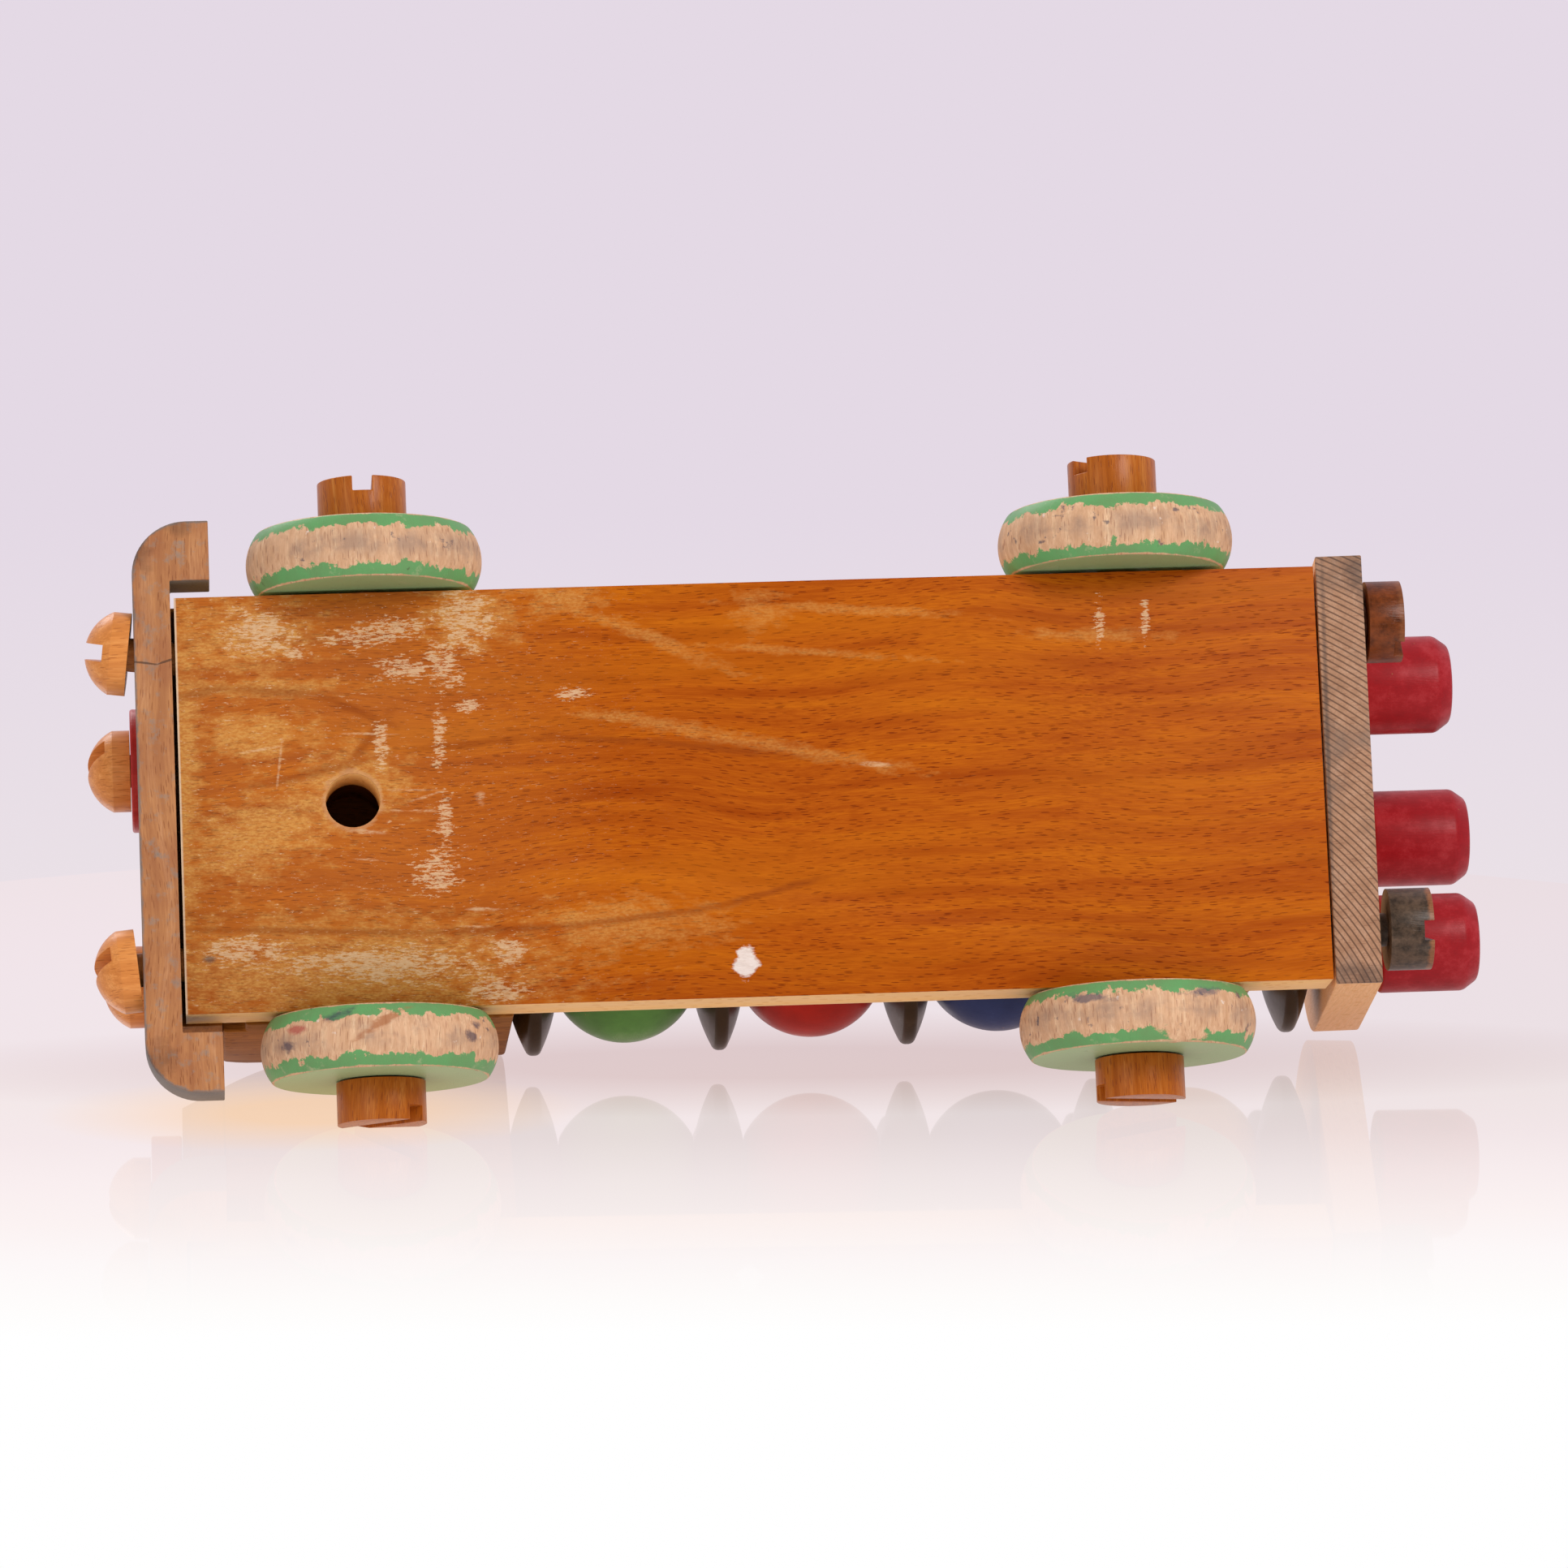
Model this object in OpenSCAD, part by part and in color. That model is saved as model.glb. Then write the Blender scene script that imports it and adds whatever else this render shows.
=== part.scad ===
// Wooden toy truck with three strings of beads between a round-topped cab and tailboard.
// Millimetres. The truck stands on its wheels, +X is forward, +Y is its left side and +Z is up.
// The origin is on the ground, under the middle of the truck's outer box.
// The modules work from the front end of the chassis board: x = 0 there, y = 0 on the
// centre line and z = 0 on the ground. on_truck() then moves a piece to the origin above.

/* [Chassis board] */
// Width of the board
board_w = 100; // [92:0.5:110]
// Thickness of the board
board_t = 16; // [14:0.5:20]
// Diameter of the cab's bolt hole, which is empty
cab_hole_d = 13; // [8:0.5:18]
// Distance of that hole from the board's front end
cab_hole_x = 41; // [30:0.5:60]

/* [Wheels and axle bolts] */
// Diameter of a wheel over the crown of its tread
wheel_d = 56.4; // [50:0.2:62]
// Width of a wheel
wheel_w = 15.2; // [12:0.1:18]
// Diameter of a wheel's flat side
wheel_face_d = 51; // [44:0.2:53]
// Distance of the front axle bolts from the board's front end
front_axle_x = 45.6; // [40:0.1:60]
// Distance between the front and the rear axle bolts
wheelbase = 180.6; // [160:0.2:195]
// Height of the axle bolts above the board's underside
axle_rise = 8.6; // [7:0.1:9]
// Gap between a wheel and the cab's side
wheel_gap = 0.3; // [0.3:0.1:2]
// Diameter of an axle bolt's plain shank
axle_d = 9; // [7:0.5:10]
// Diameter of an axle bolt's head
axle_head_d = 21.2; // [16:0.2:26]
// Length of an axle bolt's head
axle_head_l = 10; // [7:0.1:14]
// Depth of an axle bolt in the board
axle_depth = 24; // [16:0.5:30]
// How far the left heads stand off their wheels
left_slack = 2.2; // [0.4:0.1:3]
// How far the right heads stand off their wheels
right_slack = 0.4; // [0.3:0.1:3]
// Width of the slot in an axle bolt's head
axle_slot_w = 4.7; // [3:0.1:6]
// Depth of that slot
axle_slot_h = 3.6; // [2:0.1:5]

/* [Bumper] */
// Length of the bumper from side to side
bumper_w = 137.2; // [128:0.2:146]
// Thickness of the bumper's front board
bumper_t = 8.9; // [7:0.1:12]
// Depth of the bumper over its returned ends
bumper_depth = 18.4; // [15:0.1:24]
// Width of a returned end
bumper_end_w = 14.3; // [10:0.1:15]
// Height of the bumper
bumper_h = 16; // [12:0.5:20]
// Radius of the bumper's outer corners
bumper_r = 13; // [6:0.5:14]
// Gap between the bumper and the board
bumper_gap = 0.9; // [0.3:0.1:2]

/* [Domed bolts] */
// Diameter of a domed head
dome_d = 19.8; // [16:0.2:24]
// Length of the straight part of a domed head
dome_skirt = 4.2; // [2:0.1:6]
// Height of the dome above that part
dome_rise = 6.2; // [4:0.1:8]
// Diameter of a domed bolt's shank
dome_shank_d = 8; // [6:0.5:9]
// Width of the slot in a domed head
dome_slot_w = 4; // [2.5:0.1:5]
// Depth of the slot in a domed head
dome_slot_h = 4.4; // [2:0.1:6]
// Distance of each bumper bolt from the centre line
bumper_bolt_y = 37.9; // [30:0.1:42]
// Depth of a bumper bolt in the board
bumper_bolt_depth = 26; // [18:0.5:30]
// Turn of the left bumper bolt, away from the middle
left_bolt_turn = 7; // [0:0.5:8]
// Turn of the right bumper bolt, away from the middle
right_bolt_turn = 5.5; // [0:0.5:8]

/* [Tailboard] */
// Width of the tailboard
tail_w = 103.5; // [94:0.5:112]
// How far the tailboard sits to the left of the centre line
tail_side = 0.6; // [0:0.1:2]
// Height above the board's underside where the tailboard's and the cab's round tops start
shoulder_z = 79; // [72:0.5:90]
// Thickness of the tailboard
tail_t = 11.1; // [9:0.1:14]
// Backward lean of the tailboard
tail_lean = 3.2; // [0:0.1:4]
// Gap between the board and the tailboard at its foot
tail_gap = 0.6; // [0.3:0.1:1.5]
// Diameter of a tailboard bolt's head
tail_head_d = 19.6; // [16:0.2:24]
// Length of the left tailboard bolt's head
left_tail_head_l = 8.4; // [6:0.1:12]
// Length of the right tailboard bolt's head
right_tail_head_l = 10.4; // [6:0.1:12]
// How far the right tailboard bolt's head stands off the tailboard
right_tail_off = 1.3; // [0.2:0.1:3]
// Distance of each tailboard bolt from the centre line
tail_bolt_y = 37.4; // [30:0.1:42]
// Depth of a tailboard bolt in the board
tail_bolt_depth = 22; // [16:0.5:26]
// Depth of the slot in a tailboard bolt's head
tail_slot_h = 2.4; // [1.5:0.1:4]

/* [Cab and lamps] */
// Length of the cab with its front board
cab_l = 79.4; // [72:0.2:90]
// How far the cab overhangs the board on each side
cab_overhang = 0.6; // [0:0.1:2]
// How far the cab stands in front of the board
cab_front = 1.4; // [0:0.1:3]
// Thickness of the cab's front board
front_board_t = 10; // [8:0.1:13]
// Height above the board's underside where the windscreen slope starts
slope_z = 69; // [68:0.5:76]
// Angle of the windscreen slope from upright
slope_angle = 45; // [35:1:50]
// Length of the notch at the cab block's front foot
notch_l = 5.4; // [3:0.1:8]
// Height of that notch
notch_h = 11.4; // [6:0.1:14]
// Diameter of a lamp disc
lamp_d = 30; // [24:0.2:31]
// Thickness of a lamp disc
lamp_t = 7.4; // [5:0.1:9]
// Height of the lamps above the board's underside
lamp_z = 51.5; // [46:0.5:54]
// Place of the right lamp, from the centre line
right_lamp_y = 35.6; // [26:0.1:36]
// Place of the left lamp, from the centre line
left_lamp_y = 17.4; // [17:0.1:36]
// How far the left lamp stands off the cab
left_lamp_off = 2.7; // [0.2:0.1:3]
// How far the right lamp stands off the cab
right_lamp_off = 0.2; // [0.2:0.1:3]
// Depth of a lamp bolt in the cab
lamp_bolt_depth = 24; // [16:0.5:30]
// Diameter of the cab block's hollow over the board's empty hole
hollow_d = 17; // [14:0.5:24]
// Depth of that hollow
hollow_h = 30; // [15:0.5:40]

/* [Beads and rods] */
// Diameter of a bead rod
rod_d = 9; // [7:0.5:11]
// Depth of a rod in the cab
rod_depth = 16; // [10:0.5:24]
// Room in the cab beyond the end of a rod
rod_end_room = 7; // [1:0.5:9]
// Distance of each lower rod from the centre line
rod_y = 32.2; // [30:0.1:33]
// Height of the lower rods above the board's underside
low_rod_z = 66.5; // [62:0.5:70]
// Height of the upper rod above the board's underside
high_rod_z = 104.5; // [102:0.5:108]
// Diameter of a ball
ball_d = 36.8; // [30:0.2:38]
// Length of a ball between its flat ends
ball_l = 32.8; // [28:0.1:34]
// Diameter of a lens disc
disc_d = 41.8; // [36:0.2:42]
// Thickness of a lens disc at its hub
disc_t = 12.3; // [10:0.1:12.6]
// Radius of a lens disc's faces
disc_face_r = 44; // [34:0.1:60]
// Thickness of a lens disc at its rim
disc_rim_t = 2.6; // [0.5:0.1:4]
// Least gap between neighbouring beads
bead_gap = 0.2; // [0.15:0.05:0.4]
// Play of the lower strings in front of the tailboard
string_play = 1.1; // [0.3:0.1:5]
// Diameter of a red knob
knob_d = 24; // [18:0.2:26]
// Length of a red knob
knob_l = 24.4; // [20:0.1:34]
// Depth of a rod in its knob
knob_socket = 14; // [8:0.5:16]
// Length of the slope around a red knob's end
knob_slope_l = 3.6; // [1:0.1:6]
// Depth of that slope
knob_slope_d = 2.6; // [1:0.1:5]
// How far the right knob stands off the tailboard, its rod pulled out a little
right_knob_off = 3.4; // [0:0.1:6]
// How far the upper knob stands off the tailboard
high_knob_off = 5.8; // [0:0.1:6]

/* [Fits] */
// Radial clearance where a piece turns or slides on another
run_gap = 0.08; // [0.05:0.01:0.1]
// Radial clearance of a fixed bolt in its hole
bolt_gap = 0.15; // [0.05:0.01:0.4]
// Gap of a bolt head or knob from the face behind it
face_gap = 0.2; // [0.1:0.05:0.5]

/* [Hidden] */
$fn = 96;
// Slack that keeps a cutting tool clear of the faces that it opens
over = 1;

// Name, place along the board and side of each wheel
CORNERS = [
    ["front_left", -front_axle_x, 1],
    ["front_right", -front_axle_x, -1],
    ["rear_left", -(front_axle_x + wheelbase), 1],
    ["rear_right", -(front_axle_x + wheelbase), -1]];
// Turn of the slot in each bolt's head: the axle bolts' from lengthwise, in the order of
// CORNERS, and the others' from upright, left and right
AXLE_SLOTS = [90, 40, 37, -18];
BUMPER_SLOTS = [-12, 25];
LAMP_SLOTS = [35, 10];
TAIL_SLOTS = [54, 11];
// Name, distance from the centre line and height of each string of beads, and how far its
// knob stands off the tailboard
STRINGS = [
    ["left", rod_y, low_rod_z, 0],
    ["right", -rod_y, low_rod_z, right_knob_off],
    ["upper", 0, high_rod_z, high_knob_off]];
// Balls of a string from the front, with a disc before and behind each
BALLS = [["green", "#2f9a52"], ["red", "#c22a2c"], ["blue", "#1f4fa8"], ["yellow", "#e8b81e"]];
DISCS = [0:len(BALLS)];
// How far each disc has slid back from the one before it, beyond the least gaps, all summed
SLIDES = [0, 0, 0.5, 1.7, 2.9];

// Heights above the ground
under_z = wheel_d / 2 - axle_rise;
top_z = under_z + board_t;
bolt_z = under_z + board_t / 2;
axle_z = wheel_d / 2;

// Places along the truck, from the board's front end
cab_back = cab_l - cab_front;
cab_w = board_w + 2 * cab_overhang;
// Inner face of a wheel, from the centre line
wheel_y = cab_w / 2 + wheel_gap;
bead_pitch = disc_t + ball_l + 2 * bead_gap;
string_end = disc_x(len(BALLS)) + disc_t;
hub_r = ball_d / 2 * sqrt(1 - pow(ball_l / ball_d, 2));
board_l = string_end + string_play - tail_gap - (low_rod_z - hub_r) * tan(tail_lean);
lamp_seat = cab_front + lamp_t + face_gap;

// How far a domed head reaches from its seat, and the sphere that the dome is a part of
dome_l = dome_skirt + dome_rise;
dome_sphere_r = (pow(dome_d / 2, 2) + pow(dome_rise, 2)) / (2 * dome_rise);
// The slot cuts the top off the dome and leaves this much
dome_top = dome_l - dome_sphere_r + sqrt(pow(dome_sphere_r, 2) - pow(dome_slot_w / 2, 2));

// Front end of disc k of a string, counted from 0 at the front
function disc_x(k) = cab_back + bead_gap + k * bead_pitch + SLIDES[k];

// Rear face of the leaning tailboard at a height above the board's underside
function tail_back(h) = board_l + tail_gap + tail_t / cos(tail_lean) + h * tan(tail_lean);
// Front end of a string's knob
function knob_seat(s) = tail_back(s[2] + knob_d / 2) + face_gap + s[3];

// Reach of the outermost pieces and middle of the truck's outer box
front_reach = max(lamp_seat + max(left_lamp_off, right_lamp_off),
                  bumper_gap + bumper_t + bumper_bolt_off(max(left_bolt_turn, right_bolt_turn)))
              + dome_top;
rear_reach = max([for (s = STRINGS) knob_seat(s)]) + knob_l;
mid_x = (rear_reach - front_reach) / 2;
mid_y = (right_slack - left_slack) / 2;

module on_truck() {
    translate([mid_x, mid_y, 0]) children();
}

// A rod along X whose front end is at x = 0
module rod_back(d, l) {
    translate([-l, 0, 0]) rotate([0, 90, 0]) cylinder(d = d, h = l);
}

// Domed bolt on X: its head's seat is at x = 0 and its shank runs back for l
module domed_bolt(l, slot_turn) {
    rotate([0, 90, 0]) difference() {
        rotate_extrude() union() {
            translate([0, -l]) square([dome_shank_d / 2, l + dome_skirt]);
            square([dome_d / 2, dome_skirt]);
            intersection() {
                translate([0, dome_l - dome_sphere_r]) circle(r = dome_sphere_r);
                translate([0, dome_skirt]) square([dome_d / 2, dome_rise + over]);
            }
        }
        rotate([0, 0, slot_turn])
            translate([-dome_d / 2 - over, -dome_slot_w / 2, dome_l - dome_slot_h])
                cube([dome_d + 2 * over, dome_slot_w, dome_slot_h + over]);
    }
}

// Block with a round top, w wide and l long along X, with its rear at x = 0 and its foot at
// z = foot
module end_block(w, l, foot) {
    rotate([90, 0, 90]) linear_extrude(height = l) union() {
        translate([-w / 2, foot]) square([w, under_z + shoulder_z - foot]);
        intersection() {
            translate([0, under_z + shoulder_z]) circle(d = w);
            translate([-w / 2, under_z + shoulder_z - over]) square([w, w / 2 + 2 * over]);
        }
    }
}

// Everything in front of and above the windscreen slope
module slope_cut() {
    reach = 3 * cab_w;
    translate([cab_front, 0, under_z + slope_z]) rotate([0, -slope_angle, 0])
        translate([0, -reach / 2, -reach / 2]) cube([reach, reach, reach]);
}

// How far a turned head stands off the bumper, so that its rim clears it
function bumper_bolt_off(turn) = dome_d / 2 * sin(turn) + face_gap;

// Puts a piece on the head's seat of a bumper bolt: side is 1 on the left and -1 on the right
module at_bumper_bolt(side) {
    turn = side > 0 ? left_bolt_turn : right_bolt_turn;
    translate([bumper_gap + bumper_t, side * bumper_bolt_y, bolt_z]) rotate([0, 0, side * turn])
        translate([bumper_bolt_off(turn), 0, 0]) children();
}

// Length of a bumper bolt's shank
function bumper_shank(side) = bumper_bolt_off(side > 0 ? left_bolt_turn : right_bolt_turn)
                              + bumper_t + bumper_gap + bumper_bolt_depth;

module bumper_bolt_hole(side) {
    at_bumper_bolt(side) rod_back(dome_shank_d + 2 * bolt_gap, bumper_shank(side) + over);
}

module chassis_board() {
    color("#b8702a") on_truck() difference() {
        translate([-board_l, -board_w / 2, under_z]) cube([board_l, board_w, board_t]);
        translate([-cab_hole_x, 0, under_z - over]) cylinder(d = cab_hole_d, h = board_t + 2 * over);
        for (c = CORNERS) axle_hole(c);
        for (side = [1, -1]) bumper_bolt_hole(side);
        for (side = [1, -1]) tail_bolt_hole(side);
    }
}

// Hole for one axle bolt, open at the board's side
module axle_hole(corner) {
    translate([corner[1], corner[2] * (board_w / 2 - axle_depth - over), axle_z])
        rotate([-90 * corner[2], 0, 0])
            cylinder(d = axle_d + 2 * bolt_gap, h = axle_depth + 2 * over);
}

module bumper() {
    front = bumper_gap + bumper_t;
    back = front - bumper_depth;
    color("#8f8a86") on_truck() difference() {
        translate([0, 0, bolt_z - bumper_h / 2]) linear_extrude(height = bumper_h) difference() {
            intersection() {
                translate([back, -bumper_w / 2]) square([bumper_depth, bumper_w]);
                union() {
                    translate([front - bumper_r, -bumper_w / 2 + bumper_r])
                        square([bumper_r + over, bumper_w - 2 * bumper_r]);
                    translate([back - over, -bumper_w / 2])
                        square([bumper_depth - bumper_r + over, bumper_w]);
                    for (side = [1, -1])
                        translate([front - bumper_r, side * (bumper_w / 2 - bumper_r)])
                            circle(r = bumper_r);
                }
            }
            translate([back - over, -bumper_w / 2 + bumper_end_w])
                square([bumper_depth - bumper_t + over, bumper_w - 2 * bumper_end_w]);
        }
        for (side = [1, -1]) bumper_bolt_hole(side);
    }
}

module bumper_bolt(side, slot_turn) {
    color("#c07a3a") on_truck() at_bumper_bolt(side) domed_bolt(bumper_shank(side), slot_turn);
}

module cab_block() {
    front = cab_front - front_board_t;
    color("#c48a4c") on_truck() difference() {
        translate([-cab_back, 0, 0]) end_block(cab_w, cab_back + front, top_z);
        slope_cut();
        // Notch along the foot of the block, behind the front board
        translate([front - notch_l, -cab_w / 2 - over, top_z - over])
            cube([notch_l + over, cab_w + 2 * over, notch_h + over]);
        // Hollow over the empty bolt hole
        translate([-cab_hole_x, 0, top_z - over]) cylinder(d = hollow_d, h = hollow_h + over);
        for (s = STRINGS)
            translate([-cab_back + rod_depth + rod_end_room, s[1], under_z + s[2]])
                rod_back(rod_d + 2 * run_gap, rod_depth + rod_end_room + over);
        for (lamp = LAMPS) lamp_bolt_hole(lamp);
    }
}

module cab_front_board() {
    color("#c48a4c") on_truck() difference() {
        translate([cab_front - front_board_t, 0, 0]) end_block(cab_w, front_board_t, top_z);
        slope_cut();
        for (lamp = LAMPS) lamp_bolt_hole(lamp);
    }
}

// Side and stand-off of each lamp
LAMPS = [[left_lamp_y, left_lamp_off], [-right_lamp_y, right_lamp_off]];

module at_lamp(lamp) {
    translate([0, lamp[0], under_z + lamp_z]) children();
}

module lamp_bolt_hole(lamp) {
    at_lamp(lamp) translate([cab_front + over, 0, 0])
        rod_back(dome_shank_d + 2 * bolt_gap, lamp_bolt_depth + 2 * over);
}

module lamp_disc(lamp) {
    color("#b3252b") on_truck() at_lamp(lamp) translate([cab_front + lamp[1], 0, 0])
        rotate([0, 90, 0]) difference() {
            cylinder(d = lamp_d, h = lamp_t);
            translate([0, 0, -over]) cylinder(d = dome_shank_d + 2 * run_gap, h = lamp_t + 2 * over);
        }
}

module lamp_bolt(lamp, slot_turn) {
    seat = lamp_seat + lamp[1];
    color("#c07a3a") on_truck() at_lamp(lamp) translate([seat, 0, 0])
        domed_bolt(seat - cab_front + lamp_bolt_depth, slot_turn);
}

module tailboard() {
    color("#a98f78") on_truck() difference() {
        translate([-(board_l + tail_gap), tail_side, under_z]) rotate([0, -tail_lean, 0])
            translate([-tail_t, 0, -under_z]) end_block(tail_w, tail_t, under_z);
        for (s = STRINGS)
            translate([-cab_back, s[1], under_z + s[2]])
                rod_back(rod_d + 2 * run_gap, rear_reach - cab_back);
        for (side = [1, -1]) tail_bolt_hole(side);
    }
}

// Front end of a tailboard bolt's shank, from the board's front end
tail_bolt_end = board_l - tail_bolt_depth;

// Hole for one tailboard bolt, through the tailboard into the board
module tail_bolt_hole(side) {
    translate([-tail_bolt_end + over, side * tail_bolt_y, bolt_z])
        rod_back(dome_shank_d + 2 * bolt_gap, tail_back(board_t) - tail_bolt_end + 2 * over);
}

module tail_bolt(side, slot_turn, tint) {
    seat = tail_back(board_t / 2 + tail_head_d / 2) + face_gap + (side < 0 ? right_tail_off : 0);
    head = side > 0 ? left_tail_head_l : right_tail_head_l;
    color(tint) on_truck() translate([0, side * tail_bolt_y, bolt_z]) difference() {
        union() {
            translate([-seat, 0, 0]) rod_back(tail_head_d, head);
            translate([-tail_bolt_end, 0, 0]) rod_back(dome_shank_d, seat - tail_bolt_end + over);
        }
        translate([-seat - head, 0, 0]) rotate([-slot_turn, 0, 0])
            translate([-over, -axle_slot_w / 2, -tail_head_d / 2 - over])
                cube([tail_slot_h + over, axle_slot_w, tail_head_d + 2 * over]);
    }
}

// Wheel on its own axis Z, from z = 0 to z = wheel_w, with a crowned tread
module wheel(corner) {
    drop = (wheel_d - wheel_face_d) / 2;
    crown_r = (pow(wheel_w / 2, 2) + pow(drop, 2)) / (2 * drop);
    color("#3a9a4c") on_truck()
        translate([corner[1], corner[2] * wheel_y, axle_z])
            rotate([-90 * corner[2], 0, 0]) difference() {
                rotate_extrude() union() {
                    square([wheel_face_d / 2, wheel_w]);
                    intersection() {
                        translate([wheel_d / 2 - crown_r, wheel_w / 2]) circle(r = crown_r);
                        translate([wheel_face_d / 4, 0]) square([wheel_d, wheel_w]);
                    }
                }
                translate([0, 0, -over]) cylinder(d = axle_d + 2 * run_gap, h = wheel_w + 2 * over);
            }
}

module axle_bolt(corner, slot_turn) {
    slack = corner[2] > 0 ? left_slack : right_slack;
    shank = axle_depth + wheel_y - board_w / 2 + wheel_w + slack;
    color("#b9743a") on_truck()
        translate([corner[1], corner[2] * (board_w / 2 - axle_depth), axle_z])
            rotate([-90 * corner[2], 0, 0]) difference() {
                union() {
                    cylinder(d = axle_d, h = shank);
                    translate([0, 0, shank]) cylinder(d = axle_head_d, h = axle_head_l);
                }
                rotate([0, 0, slot_turn])
                    translate([-axle_head_d / 2 - over, -axle_slot_w / 2, shank + axle_head_l - axle_slot_h])
                        cube([axle_head_d + 2 * over, axle_slot_w, axle_slot_h + over]);
            }
}

// Puts a piece on a string's axis, x behind the board's front end
module on_string(s, x) {
    translate([-x, s[1], under_z + s[2]]) children();
}

module bead_rod(s) {
    color("#c9a06a") on_truck() on_string(s, cab_back - rod_depth)
        rod_back(rod_d, knob_seat(s) - cab_back + rod_depth + knob_socket);
}

module red_knob(s) {
    color("#b3252b") on_truck() on_string(s, knob_seat(s)) rotate([0, -90, 0]) difference() {
        rotate_extrude() polygon([
            [0, 0],
            [knob_d / 2, 0],
            [knob_d / 2, knob_l - knob_slope_l],
            [knob_d / 2 - knob_slope_d, knob_l],
            [0, knob_l]]);
        translate([0, 0, -over]) cylinder(d = rod_d + 2 * bolt_gap, h = knob_socket + over + face_gap);
    }
}

// Ball k of a string, counted from 0 at the front, against the disc before it
module ball(s, k) {
    x = disc_x(k) + disc_t + bead_gap;
    color(BALLS[k][1]) on_truck() on_string(s, x) rotate([0, -90, 0]) difference() {
        rotate_extrude() intersection() {
            square([ball_d / 2, ball_l]);
            translate([0, ball_l / 2]) circle(d = ball_d);
        }
        translate([0, 0, -over]) cylinder(d = rod_d + 2 * run_gap, h = ball_l + 2 * over);
    }
}

// Lens disc k of a string
module disc(s, k) {
    // Distance of each face's centre from the disc's middle plane
    off = sqrt(pow(disc_face_r, 2) - pow(disc_d / 2, 2)) - disc_rim_t / 2;
    color("#4a4644") on_truck() on_string(s, disc_x(k)) rotate([0, -90, 0]) difference() {
        rotate_extrude() intersection() {
            square([disc_d / 2, disc_t]);
            translate([0, disc_t / 2 + off]) circle(r = disc_face_r);
            translate([0, disc_t / 2 - off]) circle(r = disc_face_r);
        }
        translate([0, 0, -over]) cylinder(d = rod_d + 2 * run_gap, h = disc_t + 2 * over);
    }
}

chassis_board();
bumper();
bumper_bolt(1, BUMPER_SLOTS[0]);  // bumper_bolt_left
bumper_bolt(-1, BUMPER_SLOTS[1]);  // bumper_bolt_right
cab_block();
cab_front_board();
lamp_disc(LAMPS[0]);  // lamp_disc_left
lamp_disc(LAMPS[1]);  // lamp_disc_right
lamp_bolt(LAMPS[0], LAMP_SLOTS[0]);  // lamp_bolt_left
lamp_bolt(LAMPS[1], LAMP_SLOTS[1]);  // lamp_bolt_right
tailboard();
tail_bolt(1, TAIL_SLOTS[0], "#8a5a34");  // tail_bolt_left
tail_bolt(-1, TAIL_SLOTS[1], "#57514c");  // tail_bolt_right
for (i = [0:len(CORNERS) - 1])
    wheel(CORNERS[i]);
for (i = [0:len(CORNERS) - 1])
    axle_bolt(CORNERS[i], AXLE_SLOTS[i]);
for (s = STRINGS)
    bead_rod(s);
for (s = STRINGS)
    red_knob(s);
for (s = STRINGS, k = [0:len(BALLS) - 1])
    ball(s, k);
for (s = STRINGS, k = DISCS)
    disc(s, k);
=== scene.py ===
from math import asin, atan2, cos, degrees, hypot, pi, radians, sin, sqrt

import bpy
from mathutils import Matrix, Vector


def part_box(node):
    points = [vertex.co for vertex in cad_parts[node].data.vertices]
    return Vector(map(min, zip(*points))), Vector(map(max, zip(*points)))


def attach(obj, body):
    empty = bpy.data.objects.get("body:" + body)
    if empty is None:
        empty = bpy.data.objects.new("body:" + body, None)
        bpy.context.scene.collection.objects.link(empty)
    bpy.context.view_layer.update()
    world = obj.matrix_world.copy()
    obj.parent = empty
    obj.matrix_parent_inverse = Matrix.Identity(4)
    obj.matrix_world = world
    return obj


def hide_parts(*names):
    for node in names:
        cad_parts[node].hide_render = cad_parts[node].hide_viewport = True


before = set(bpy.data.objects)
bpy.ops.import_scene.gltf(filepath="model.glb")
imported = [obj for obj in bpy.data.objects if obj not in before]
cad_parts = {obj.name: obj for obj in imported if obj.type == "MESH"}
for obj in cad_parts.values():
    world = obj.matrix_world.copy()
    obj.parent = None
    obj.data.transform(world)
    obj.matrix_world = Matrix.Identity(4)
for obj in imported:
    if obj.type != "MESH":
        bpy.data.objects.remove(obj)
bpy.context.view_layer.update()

MM = 0.001

# Camera. The truck lies on its right side on a glossy sheet, and the camera looks at its
# underside through a long lens, a little from above. The truck keeps its own frame here, as
# if it stood on its wheels, so the sheet stands tilted at its right side instead.
camera = bpy.data.objects.new("camera", bpy.data.cameras.new("camera"))
camera.data.sensor_width = 36
camera.data.lens = 204.97
camera.data.clip_end = 20
camera.location = Vector((151.76, -351.35, -2069.99)) * MM
camera.rotation_euler = [radians(a) for a in (-170.325, 3.594, -177.680)]
bpy.context.scene.collection.objects.link(camera)
bpy.context.scene.camera = camera

# Chassis board. A plain beech board, planed and sawn to length, stained orange and varnished
# underneath. Play has scuffed it to pale wood at the front, and its sides were left light.


def only(*pieces):
    """Selects these pieces and nothing else."""
    bpy.ops.object.select_all(action="DESELECT")
    for piece in pieces:
        piece.select_set(True)
    bpy.context.view_layer.objects.active = pieces[0]


def sanded(piece, edge, steps=3):
    """Rounds the sharp edges of a piece to edge millimetres, as sandpaper and use do."""
    only(piece)
    bevel = piece.modifiers.new("sanded", "BEVEL")
    bevel.width = edge * MM
    bevel.segments = steps
    bevel.limit_method = "ANGLE"
    bevel.angle_limit = radians(28)
    bpy.ops.object.modifier_apply(modifier=bevel.name)
    bpy.ops.object.shade_smooth_by_angle(angle=radians(40))
    return piece


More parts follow.
